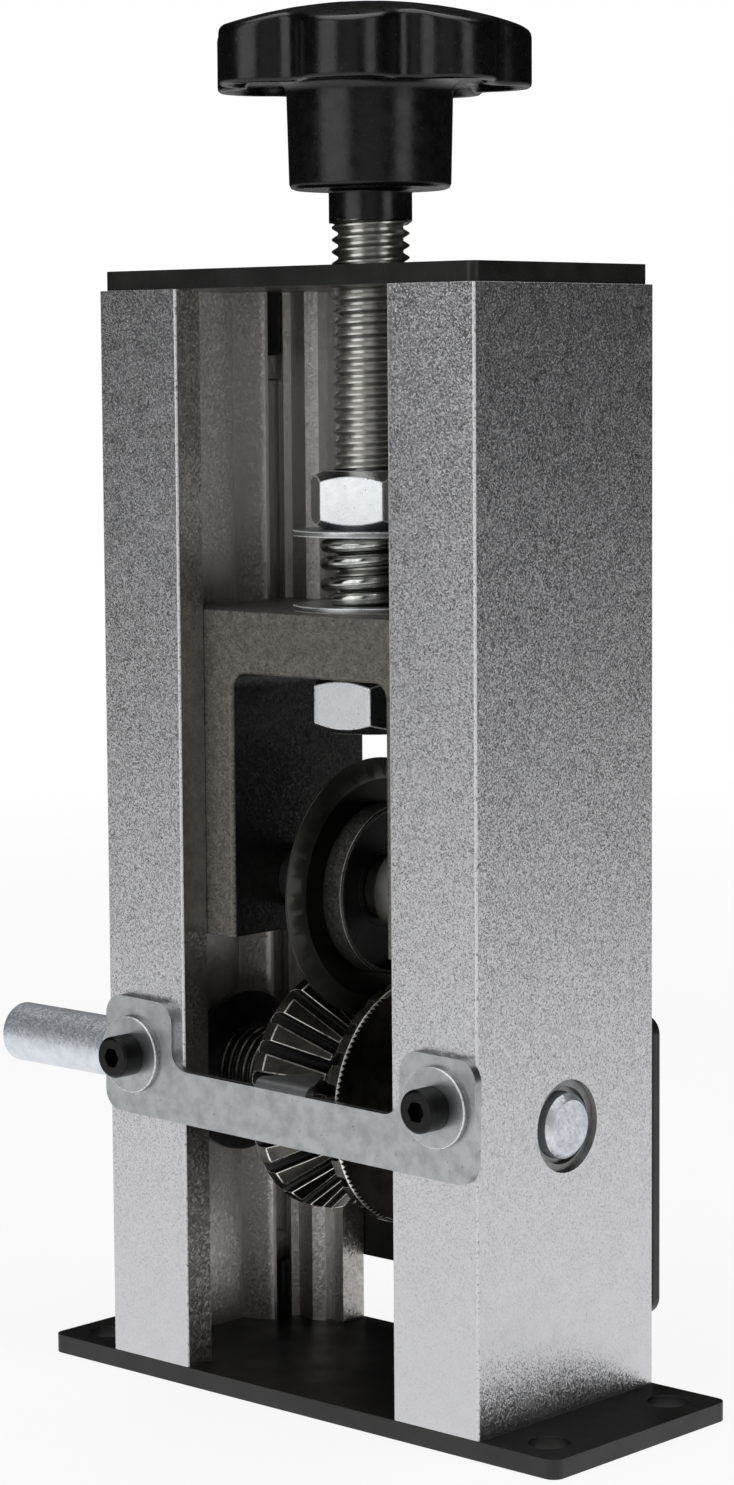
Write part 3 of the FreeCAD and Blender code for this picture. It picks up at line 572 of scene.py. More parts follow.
def break_edges(
    mesh: bmesh.types.BMesh,
    edge_mm: float,
    sharp_deg: float = 30.0,
    chosen: Callable[[bmesh.types.BMEdge], bool] = lambda edge: True,
) -> list[bmesh.types.BMFace]:
    """Bevels the outward edges of a mesh.

    Args:
        mesh: the mesh to change.
        edge_mm: the bevel's width.
        sharp_deg: the least angle between two faces that counts as an edge.
        chosen: tells which of those edges are bevelled.

    Returns:
        The bevel's own faces.
    """
    edges = [
        e
        for e in mesh.edges
        if len(e.link_faces) == 2
        and e.is_convex
        and e.calc_face_angle(0.0) > math.radians(sharp_deg)
        and chosen(e)
    ]
    made = bmesh.ops.bevel(
        mesh,
        geom=edges,
        offset=edge_mm * MM,
        segments=BEVEL_SEGMENTS,
        profile=0.5,
        affect="EDGES",
        material=-1,
        clamp_overlap=True,
    )
    return made["faces"]


def make_piece(
    mesh: bmesh.types.BMesh,
    name: str,
    body: Body,
    finishes: Sequence[Finish],
    replaces: str,
    crease_deg: float = 35.0,
) -> bpy.types.Object:
    """Turns a bmesh into a finished piece that rides on its body.

    Args:
        mesh: the geometry, in the object's frame; it is freed.
        name: the piece's name.
        body: the body that it moves with.
        finishes: one finish for each material index that the faces use.
        replaces: the CAD node that the piece stands for.
        crease_deg: faces that meet at more than this angle keep a crisp edge.

    Returns:
        The new object.
    """
    data = bpy.data.meshes.new(name)
    mesh.to_mesh(data)
    mesh.free()
    for finish in finishes:
        data.materials.append(finish.material())
    data.shade_smooth()
    data.set_sharp_from_angle(angle=math.radians(crease_deg))
    piece = bpy.data.objects.new(name, data)
    bpy.context.scene.collection.objects.link(piece)
    weighted = piece.modifiers.new("even shading", "WEIGHTED_NORMAL")
    weighted.keep_sharp = True
    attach(piece, body.value)
    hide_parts(replaces)
    log.info("%s rides on %s, %d faces", name, body.value, len(data.polygons))
    return piece


def squeeze(
    spring: bpy.types.Object
) -> None:
    """Gives a spring its own copy of its mesh.

    Args:
        spring: the spring's finished piece.
    """
    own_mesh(spring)


@dataclass
class Refined:
    """A CAD node that keeps its shape and gets broken edges and a finish."""

    node: str
    body: Body
    slot: Slot
    finish: Finish
    edge_mm: float = 0.12
    edge_finish: Finish | None = None

    def build(self) -> bpy.types.Object:
        """Builds the piece that stands for the node.

        Returns:
            The new object.
        """
        mesh = merged_copy(self.node)
        edges = break_edges(mesh, self.edge_mm) if self.edge_mm else []
        return self.piece(mesh, edges)

    def piece(
        self,
        mesh: bmesh.types.BMesh,
        highlit_faces: Iterable[bmesh.types.BMFace],
        others: Sequence[Finish] = (),
    ) -> bpy.types.Object:
        """Finishes the piece from its mesh.

        Args:
            mesh: the node's mesh, with its edges broken.
            highlit_faces: the faces that take the edge finish, if there is one; most edge finishes are
                painted highlights.
            others: finishes for faces that have OTHER_INDEX and up.

        Returns:
            The new object.
        """
        finishes = [self.finish]
        if self.edge_finish:
            finishes.append(self.edge_finish)
            for face in highlit_faces:
                face.material_index = EDGE_INDEX
        finishes += others
        return make_piece(mesh, f"{self.node}_dressed", self.body, finishes, self.node)


# ---------------------------------------------------------------- sub-assemblies
@dataclass
class FrameParts:
    """Channels, plates, bushes and the screws that hold them."""

    face_depth: float = 21.55 * MM
    web_side: float = 41.1 * MM
    tip_side: float = 23.3 * MM
    channel_edge_mm: float = 0.15
    corner_lean: float = 0.1
    facing: float = 0.9
    upright: float = 0.5

    def channel(self, node: str) -> None:
        """A channel blasted outside, dull inside, its rounded upright corners painted bright as
        highlight lines.

        Args:
            node: the CAD channel's name.
        """
        part = Refined(
            node, Body.FRAME, Slot.ALUMINIUM, CHANNEL, self.channel_edge_mm, CHANNEL_HIGHLIGHT_EDGE
        )
        mesh = merged_copy(node)
        highlit_faces = break_edges(mesh, part.edge_mm)
        for face in mesh.faces:
            centre = face.calc_center_median()
            outer = abs(centre.x) > self.web_side or abs(centre.y) > self.face_depth
            # Rounded upright corners outside take the painted highlight.
            if outer and min(abs(face.normal.x), abs(face.normal.y)) > self.corner_lean:
                highlit_faces.append(face)
            elif abs(centre.x) < self.tip_side and abs(face.normal.x) > self.facing:
                face.material_index = THIRD_INDEX
            elif not outer and abs(face.normal.z) < self.upright:
                face.material_index = OTHER_INDEX
        part.piece(mesh, highlit_faces, [CHANNEL_INSIDE, CHANNEL_TIP])

    def build(self) -> None:
        """Builds every part of the frame."""
        self.channel("left_channel")
        self.channel("right_channel")
        for part in (
            Refined("base_plate", Body.FRAME, Slot.BLACK_PLATE, BLACK_COAT, 0.35),
            Refined("top_plate", Body.FRAME, Slot.BLACK_PLATE, BLACK_COAT, 0.3),
            Refined("rear_cover", Body.FRAME, Slot.BLACK_PLATE, BLACK_COAT, 0.25),
            Refined("top_plate_screws", Body.FRAME, Slot.BLACK_OXIDE, BLACK_OXIDE, 0.08),
            Refined("base_plate_screws", Body.FRAME, Slot.BLACK_OXIDE, BLACK_OXIDE, 0.08),
            Refined("rear_cover_screws", Body.FRAME, Slot.BLACK_OXIDE, BLACK_OXIDE, 0.08),
            Refined("front_guide_screws", Body.FRAME, Slot.BLACK_OXIDE, BLACK_OXIDE, 0.12),
            Refined("front_guide_washers", Body.FRAME, Slot.ZINC_STEEL, ZINC, 0.2, ZINC_HIGHLIGHT_EDGE),
            Refined("left_bush", Body.FRAME, Slot.BUSH_STEEL, OILED_STEEL_AND_SHADE, 0.1),
            Refined("right_bush", Body.FRAME, Slot.BUSH_STEEL, OILED_STEEL_AND_SHADE, 0.1),
        ):
            part.build()


@dataclass
class DriveRoller:
    """Shaft, cone wheels and what sits between them and the bushes."""

    shaft_height: float = 49.8 * MM
    groove_radius: float = 13.0 * MM
    groove_slack: float = 1.0 * MM
    rim_radius: float = 20.5 * MM
    rim_side: float = 9.8 * MM
    rim_edge_mm: float = 0.3
    land_edge: float = 0.22 * MM
    land_lean: float = 0.5
    slot_lip: float = 0.3 * MM
    cone_travel: float = 3.0 * MM

    def radius(self, place: Vector) -> float:
        """Distance of a place from the shaft's axis."""
        return math.hypot(place.y, place.z - self.shaft_height)

    def cone_wheel(self, node: str, body: Body) -> None:
        """A toothed cone wheel: dark lands with edges painted as highlights, and slots painted black as
        shade.

        Args:
            node: the CAD wheel's name.
            body: the body that it turns with.
        """
        part = Refined(node, body, Slot.TOOTH_STEEL, TOOTH, self.rim_edge_mm, TOOTH_HIGHLIGHT_EDGE)
        mesh = merged_copy(node)
        rim = self.rim_radius - self.slot_lip
        core = self.groove_radius - self.groove_slack
        highlit_faces = break_edges(
            mesh, part.edge_mm, chosen=lambda edge: all(self.radius(v.co) > rim for v in edge.verts)
        )
        edges = set(highlit_faces)
        lands = []
        for face in mesh.faces:
            centre = face.calc_center_median()
            radius = self.radius(centre)
            skin = min(self.groove_radius + abs(centre.x), self.rim_radius)
            if face in edges or abs(centre.x) > self.rim_side or radius < core:
                continue
            # Faces down in a slot take the painted shade; faces of the lands are gathered for their
            # painted highlight rings.
            if radius < skin - self.slot_lip:
                face.material_index = OTHER_INDEX
            elif abs(face.normal.x) > self.land_lean:
                lands.append(face)
        # A thin ring round each land takes the painted highlight.
        made = bmesh.ops.inset_region(
            mesh,
            faces=lands,
            thickness=self.land_edge,
            use_boundary=True,
            use_even_offset=True,
        )
        highlit_faces += made["faces"]
        part.piece(mesh, highlit_faces, [SLOT_SHADE])

    def build(self) -> None:
        """Builds the shaft's pieces."""
        self.cone_wheel("right_cone_wheel", Body.ROLLER)
        self.cone_wheel("left_cone_wheel", Body.LEFT_CONE)
        for part in (
            Refined("drive_shaft", Body.ROLLER, Slot.SHAFT_STEEL, SHAFT, 0.15),
            Refined("shaft_clip", Body.ROLLER, Slot.BLACK_OXIDE, BLACK_OXIDE, 0.08),
            Refined("roller_key", Body.ROLLER, Slot.SHAFT_STEEL, OILED_STEEL_AND_SHADE, 0.1),
            # The roller's zinc washer takes the darker oiled tone as painted shade.
            Refined("roller_washer", Body.ROLLER, Slot.ZINC_STEEL, OILED_STEEL_AND_SHADE, 0.15),
            Refined("roller_spacer", Body.ROLLER, Slot.SHAFT_STEEL, OILED_STEEL_AND_SHADE, 0.15),
        ):
            part.build()
        # The roller's spring is painted dark as shade.
        spring = Refined("roller_spring", Body.ROLLER, Slot.SPRING_STEEL, SHADED_SPRING, 0.0).build()
        squeeze(spring)


@dataclass
class CuttingHead:
    """Sliding block, cutting wheel and the axle that carries it."""

    bevel_height: float = 3.4 * MM
    hub_radius: float = 14.1 * MM
    recess_radius: float = 13.4 * MM
    recess_side: float = 2.5 * MM
    slack: float = 1.0 * MM
    fine_slack: float = 0.01 * MM
    wheel_edge_mm: float = 0.1
    block_edge_mm: float = 0.2
    edgewise: float = 0.1
    leaning: float = 0.5
    window_side: float = 17.2 * MM
    window_top: float = 120.4 * MM

    def cutting_wheel(self) -> None:
        """The wheel: bevels and hub edges painted light as highlights, dark disc, coarse hub sides and
        recesses painted black as shade.
        """
        mesh = merged_copy("blade_wheel")
        edges = set(break_edges(mesh, self.wheel_edge_mm))
        finishes = [BLADE, BLADE_BEVEL_HIGHLIGHT, BLADE_HUB, RECESS_SHADE, BLADE_HIGHLIGHT_EDGE]
        low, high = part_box("blade_wheel")
        centre = (low + high) / 2
        bevel_foot = (high.z - low.z) / 2 - self.bevel_height
        for face in mesh.faces:
            away = face.calc_center_median() - centre
            radius = math.hypot(away.y, away.z)
            within_hub = self.recess_radius < radius < self.hub_radius + self.slack
            within_recess = radius < self.recess_radius + self.fine_slack
            finish = BLADE
            # The bevel takes a painted highlight, the hub's edges another, and the recesses painted
            # shade.
            if radius > bevel_foot:
                if face not in edges and abs(face.normal.x) >= self.edgewise:
                    finish = BLADE_BEVEL_HIGHLIGHT
            elif face in edges:
                finish = BLADE_HIGHLIGHT_EDGE
            elif abs(face.normal.x) < self.leaning and within_hub:
                finish = BLADE_HUB
            elif within_recess and abs(away.x) > self.recess_side - self.slack:
                finish = RECESS_SHADE
            face.material_index = finishes.index(finish)
        make_piece(mesh, "blade_wheel_dressed", Body.BLADE, finishes, "blade_wheel")

    def block(self) -> None:
        """The inverted-U block: grained outside, painted dark as shade inside its window."""
        part = Refined(
            "pressure_block", Body.BLOCK, Slot.BLOCK_STEEL, BLOCK, self.block_edge_mm, BLOCK
        )
        mesh = merged_copy(part.node)
        break_edges(mesh, part.edge_mm)
        for face in mesh.faces:
            centre = face.calc_center_median()
            within = abs(centre.x) < self.window_side and centre.z < self.window_top
            # Faces inside the window take the painted shade.
            if within and abs(face.normal.y) < self.edgewise:
                face.material_index = OTHER_INDEX
        part.piece(mesh, [], [BLOCK_WINDOW_SHADE])

    def build(self) -> None:
        """Builds the head's pieces."""
        self.cutting_wheel()
        self.block()
        for part in (
            Refined("blade_axle", Body.BLOCK, Slot.SHAFT_STEEL, SHAFT, 0.1),
            Refined("axle_clip", Body.BLOCK, Slot.BLACK_OXIDE, BLACK_OXIDE, 0.08),
            # The two blade spacers are one part: the left takes a darker tone as painted shade, the
            # right a paler one as painted light.
            Refined("left_blade_spacer", Body.BLOCK, Slot.SHAFT_STEEL, OILED_STEEL_AND_SHADE, 0.15),
            Refined("right_blade_spacer", Body.BLOCK, Slot.SHAFT_STEEL, LIT_SLEEVE_STEEL, 0.15),
            Refined("lower_washer", Body.BLOCK, Slot.ZINC_STEEL, ZINC, 0.2, ZINC_HIGHLIGHT_EDGE),
            # The bush deep in the hub takes the black painted shade of the recesses.
            Refined("blade_bush", Body.BLADE, Slot.BUSH_STEEL, RECESS_SHADE, 0.1),
        ):
            part.build()


@dataclass
class PressingScrew:
    """Threaded rod, its nuts, upper washer and spring, and the star knob."""

    pitch: float = INCH / 13
    crest_share: float = 0.14
    root_share: float = 0.2
    thread_depth: float = 1.0 * MM
    steps_per_turn: int = 40
    rod_crease_deg: float = 25.0
    spring_wire: float = 2.35 * MM
    spring_segments: int = 40
    wire_sides: int = 16
    end_turns: float = 0.95
    free_turns: float = 1.3
    # Pitch of the closed coils, as a share of the wire's diameter.
    closed_pitch: float = 1.06
    # Height of the first coil's middle over the ground end, as a share of the wire's radius.
    ground_share: float = 0.85
    spring_start_deg: float = -100.0
    spring_crease_deg: float = 50.0
    block_travel: float = 1.5 * MM
    lobes: int = 7
    lobe_radius: float = 8.0 * MM
    tip_radius: float = 26.4 * MM
    valley_radius: float = 21.6 * MM
    steps_per_lobe: int = 30
    dome_radius: float = 78.0 * MM
    head_height: float = 13.8 * MM
    hub_length: float = 16.2 * MM
    lobe_turn: float = math.radians(-6.0)
    neck_bore: float = 6.4 * MM
    bore_depth: float = 4.0 * MM
    neck_radius: float = 6.8 * MM
    neck_tear: float = 0.9 * MM
    tear_middle: float = 0.75
    # The ragged end as waves: how many round the neck, their height's share, and their phase.
    tear_waves: tuple[tuple[int, float, float], ...] = (
        (1, 0.35, 2.4),
        (3, 0.22, 0.6),
        (7, 0.12, 1.9),
        (13, 0.06, 0.3),
    )
    # Radius, and height over the hub's foot: up the neck and round the foot.
    foot_mm: tuple[tuple[float, float], ...] = (
        (6.8, -0.6),
        (7.0, -0.15),
        (7.4, 0.0),
        (12.2, 0.0),
        (12.9, 0.25),
        (13.2, 0.9),
    )
    # Radius, and height over the head's underside: up the hub and into the hollow of the head.
    hub_mm: tuple[tuple[float, float], ...] = ((13.55, -0.8), (13.9, 0.3), (14.8, 1.2), (18.0, 1.4))
    # Inset from the lobed outline, and height over the underside: round the head's lower rim.
    rim_mm: tuple[tuple[float, float], ...] = (
        (2.2, 1.2),
        (1.7, 0.1),
        (1.2, 0.0),
        (0.5, 0.0),
        (0.1, 0.3),
        (0.0, 0.8),
        (0.0, 4.6),
    )
    # Inset from the lobed outline, and drop below the dome: over the head's upper edge.
    brow_mm: tuple[tuple[float, float], ...] = ((0.0, 1.1), (0.12, 0.55), (0.45, 0.18), (1.0, 0.0))
    dome_inset: float = 1.0 * MM
    # Shares of the outline's radius, inwards over the dome.
    dome_shares: tuple[float, ...] = (0.93, 0.84, 0.72, 0.58, 0.42, 0.25, 0.1)
    knob_crease_deg: float = 60.0
    nut_flat: float = 9.5 * MM
    nut_bore: float = 6.35 * MM
    nut_flat_drop: float = 0.9 * MM
    nut_chamfer: float = math.radians(30.0)
    nut_sides: int = 96
    nut_edge_mm: float = 0.15
    nut_edge_deg: float = 12.0
    upper_nut_turn: float = math.radians(21.0)
    lower_nut_turn: float = math.radians(9.0)

    def threaded_rod(self) -> None:
        """Sweeps one pitch of thread profile up a helix and trims it to the rod's length."""
        low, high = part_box("press_screw")
        major = (high.x - low.x) / 2
        minor = major - self.thread_depth
        half_crest = self.crest_share / 2
        half_root = self.root_share / 2
        profile = [(minor, 0.0), (minor, half_root)]
        profile += [(major, 0.5 - half_crest), (major, 0.5 + half_crest)]
        profile += [(minor, 1.0 - half_root), (minor, 1.0)]
        mesh = bmesh.new()
        bottom = low.z - self.pitch
        verts = [mesh.verts.new((r, 0.0, bottom + share * self.pitch)) for r, share in profile]
        edges = [mesh.edges.new(pair) for pair in zip(verts, verts[1:])]
        turns = math.ceil((high.z - low.z) / self.pitch) + 1
        bmesh.ops.spin(
            mesh,
            geom=verts + edges,
            axis=(0, 0, 1),
            dvec=(0, 0, self.pitch / self.steps_per_turn),
            angle=math.tau * turns,
            steps=self.steps_per_turn * turns,
            use_merge=False,
        )
        bmesh.ops.remove_doubles(mesh, verts=mesh.verts, dist=MERGE_DISTANCE)
        self.trim(mesh, low.z, high.z)
        make_piece(
            mesh,
            "threaded_rod",
            Body.SCREW,
            [ZINC_THREAD],
            "press_screw",
            self.rod_crease_deg,
        )

    @staticmethod
    def trim(mesh: bmesh.types.BMesh, low: float, high: float) -> None:
        """Cuts a mesh flat at two heights and closes the cuts.

        Args:
            mesh: the open sweep.
            low: the lower cut's height.
            high: the upper cut's height.
        """
        for height, side in ((low, -1), (high, 1)):
            cut = bmesh.ops.bisect_plane(
                mesh,
                geom=list(mesh.verts) + list(mesh.edges) + list(mesh.faces),
                dist=1e-7,
                plane_co=(0, 0, height),
                plane_no=(0, 0, side),
                clear_outer=True,
            )
            rim = [e for e in cut["geom_cut"] if isinstance(e, bmesh.types.BMEdge)]
            bmesh.ops.edgeloop_fill(mesh, edges=rim)
        bmesh.ops.recalc_face_normals(mesh, faces=mesh.faces)

    def pressing_spring(self) -> None:
        """Winds closed end coils and open middle coils, then grinds both ends flat."""
        low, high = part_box("press_spring")
        wire = self.spring_wire / 2
        mean = (high.x - low.x) / 2 - wire
        ground = self.ground_share * wire
        closed = self.closed_pitch * self.spring_wire
        rise = (high.z - low.z) - 2 * ground
        opened = (rise - 2 * self.end_turns * closed) / self.free_turns
        mesh = bmesh.new()
        upright = Matrix.Rotation(math.radians(90), 4, "X")
        place = Matrix.Translation((mean, 0, low.z + ground)) @ upright
        ring = bmesh.ops.create_circle(mesh, segments=self.wire_sides, radius=wire, matrix=place)
        geometry = list(ring["verts"]) + list({e for v in ring["verts"] for e in v.link_edges})
        end_coil = (self.end_turns, closed)
        for turns, pitch in (end_coil, (self.free_turns, opened), end_coil):
            steps = round(self.spring_segments * turns)
            swept = bmesh.ops.spin(
                mesh,
                geom=geometry,
                axis=(0, 0, 1),
                dvec=(0, 0, pitch * turns / steps),
                angle=math.tau * turns,
                steps=steps,
            )
            geometry = swept["geom_last"]
        bmesh.ops.holes_fill(mesh, edges=mesh.edges, sides=0)
        start = Matrix.Rotation(math.radians(self.spring_start_deg), 3, "Z")
        bmesh.ops.rotate(mesh, verts=mesh.verts, cent=(0, 0, 0), matrix=start)
        self.trim(mesh, low.z, high.z)
        spring = make_piece(
            mesh,
            "pressing_spring",
            Body.SEAT,
            [SPRING],
            "press_spring",
            self.spring_crease_deg,
        )
        squeeze(spring)

    def lobe_outline(self, angle: float) -> float:
        """Radius of the knob's outline: tip arcs joined by tangent valley arcs.

        Args:
            angle: the direction from the knob's axis.

        Returns:
            The outline's distance from the axis.
        """
        half = math.pi / self.lobes
        phi = abs((angle - self.lobe_turn + half) % (2 * half) - half)
        tip_centre = self.tip_radius - self.lobe_radius
        cosine = math.cos(half)
        valley = (
            tip_centre**2
            + self.valley_radius**2
            - 2 * tip_centre * self.valley_radius * cosine
            - self.lobe_radius**2
        ) / (2 * self.lobe_radius - 2 * self.valley_radius + 2 * tip_centre * cosine)
        valley_centre = self.valley_radius + valley
        tip_at = Vector((tip_centre, 0.0))
        valley_at = Vector((valley_centre * cosine, valley_centre * math.sin(half)))
        touch = tip_at + (valley_at - tip_at).normalized() * self.lobe_radius
        if phi <= math.atan2(touch.y, touch.x):
            return tip_centre * math.cos(phi) + math.sqrt(
                self.lobe_radius**2 - (tip_centre * math.sin(phi)) ** 2
            )
        away = half - phi
        return valley_centre * math.cos(away) - math.sqrt(
            valley**2 - (valley_centre * math.sin(away)) ** 2
        )

    def tear(self, angle: float) -> float:
        """Height of the neck's ragged end at an angle, as a share of the tear."""
        waves = (share * math.sin(count * angle + phase) for count, share, phase in self.tear_waves)
        return self.tear_middle + sum(waves)

    def star_knob(self) -> None:
        """Lofts the knob from its bore up the neck and hub, round the lobes to the dome."""
        low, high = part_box("star_knob")
        underside = high.z - self.head_height
        hub_foot = underside - self.hub_length
        dome_centre = high.z - self.dome_radius

        def lobed_ring(inset: float, height: float) -> Ring:
            """The lobed outline, drawn in, at one height."""
            return lambda angle: (self.lobe_outline(angle) - inset, height)

        def dome_ring(share: float, inset: float, drop: float) -> Ring:
            """The lobed outline, drawn in and shrunk, laid on the dome.

            Args:
                share: what is left of the outline's radius.
                inset: how far the outline is drawn in first.
                drop: how far below the dome the ring lies.

            Returns:
                The ring.
            """

            def place(angle: float) -> tuple[float, float]:
                """Radius and height at an angle."""
                radius = (self.lobe_outline(angle) - inset) * share
                return radius, dome_centre + math.sqrt(self.dome_radius**2 - radius**2) - drop

            return place

        def torn_ring(radius: float) -> Ring:
            """The neck's ragged lower end."""
            return lambda angle: (radius, low.z + self.neck_tear * self.tear(angle))

        rings = [
            self.round_ring(self.neck_bore, hub_foot + self.bore_depth),
            torn_ring(self.neck_bore),
            torn_ring(self.neck_radius),
        ]
        rings += [self.round_ring(radius * MM, hub_foot + rise * MM) for radius, rise in self.foot_mm]
        rings += [self.round_ring(radius * MM, underside + rise * MM) for radius, rise in self.hub_mm]
        rings += [lobed_ring(inset * MM, underside + rise * MM) for inset, rise in self.rim_mm]
        rings += [dome_ring(1.0, inset * MM, drop * MM) for inset, drop in self.brow_mm]
        rings += [dome_ring(share, self.dome_inset, 0.0) for share in self.dome_shares]
        mesh = self.loft(rings, self.lobes * self.steps_per_lobe)
        make_piece(
            mesh,
            "moulded_star_knob",
            Body.SCREW,
            [PLASTIC],
            "star_knob",
            self.knob_crease_deg,
        )

    @staticmethod
    def round_ring(radius: float, height: float) -> Ring:
        """A plain circle at one height."""
        return lambda angle: (radius, height)

    def nut(self, node: str, turn: float) -> None:
        """A hexagon nut whose flats end in the arcs of its chamfers, as turned nuts do.

        Args:
            node: the CAD nut's name.
            turn: how far its corners stand turned from the X axis.
        """
        low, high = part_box(node)
        slope = math.tan(self.nut_chamfer)
        shoulder = self.nut_flat - self.nut_flat_drop / slope

        def flat_radius(angle: float) -> float:
            """Radius of the hexagon at an angle."""
            return self.nut_flat / math.cos((angle % math.radians(60)) - math.radians(30))

        def edge(height: float, side: int) -> Ring:
            """Where the flats meet the chamfer of a face of the nut.

            Args:
                height: the face's height.
                side: 1 for the upper face, -1 for the lower one.

            Returns:
                The ring.
            """
            return lambda angle: (
                flat_radius(angle),
                height - side * (flat_radius(angle) - shoulder) * slope,
            )

        rings = [
            self.round_ring(self.nut_bore, high.z),
            self.round_ring(self.nut_bore, low.z),
            self.round_ring(shoulder, low.z),
            edge(low.z, -1),
            edge(high.z, 1),
            self.round_ring(shoulder, high.z),
            self.round_ring(self.nut_bore, high.z),
        ]
        mesh = self.loft(rings, self.nut_sides, closed=True)
        bmesh.ops.rotate(mesh, verts=mesh.verts, cent=(0, 0, 0), matrix=Matrix.Rotation(turn, 3, "Z"))
        # The nut's bevelled edges take the painted highlight.
        highlit_faces = break_edges(mesh, self.nut_edge_mm, self.nut_edge_deg)
        Refined(node, Body.SCREW, Slot.ZINC_STEEL, NUT_ZINC, edge_finish=ZINC_HIGHLIGHT_EDGE).piece(mesh, highlit_faces)

    @staticmethod
    def loft(rings: Sequence[Ring], segments: int, closed: bool = False) -> bmesh.types.BMesh:
        """Skins a stack of rings round the Z axis.

        Args:
            rings: the rings, each joined to the one before.
            segments: points in each ring.
            closed: whether the last ring lies on the first; if not, the last is filled.

        Returns:
            The skinned mesh.
        """
        mesh = bmesh.new()
        verts = bmesh.ops.create_circle(mesh, segments=segments, radius=1.0)["verts"]
        edges = list(mesh.edges)
        for number, ring in enumerate(rings):
            if number:
                grown = bmesh.ops.extrude_edge_only(mesh, edges=edges)["geom"]
                verts = [g for g in grown if isinstance(g, bmesh.types.BMVert)]
                edges = [g for g in grown if isinstance(g, bmesh.types.BMEdge)]
            for vert in verts:
                angle = math.atan2(vert.co.y, vert.co.x)
                radius, height = ring(angle)
                vert.co = Vector((radius * math.cos(angle), radius * math.sin(angle), height))
        if closed:
            bmesh.ops.remove_doubles(mesh, verts=mesh.verts, dist=MERGE_DISTANCE)
        else:
            bmesh.ops.edgeloop_fill(mesh, edges=edges)
        bmesh.ops.recalc_face_normals(mesh, faces=mesh.faces)
        return mesh

    def build(self) -> None:
        """Builds the screw's pieces."""
        self.threaded_rod()
        self.pressing_spring()
        self.star_knob()
        self.nut("upper_nut", self.upper_nut_turn)
        self.nut("lower_nut", self.lower_nut_turn)
        Refined("upper_washer", Body.SEAT, Slot.ZINC_STEEL, ZINC, 0.2, ZINC_HIGHLIGHT_EDGE).build()


@dataclass
class WireGuide:
    """The zinc-plated bracket across the front."""

    def build(self) -> None:
        """Builds the bracket."""
        Refined("front_guide", Body.GUIDE, Slot.ZINC_STEEL, ZINC, 0.15, ZINC_HIGHLIGHT_EDGE).build()


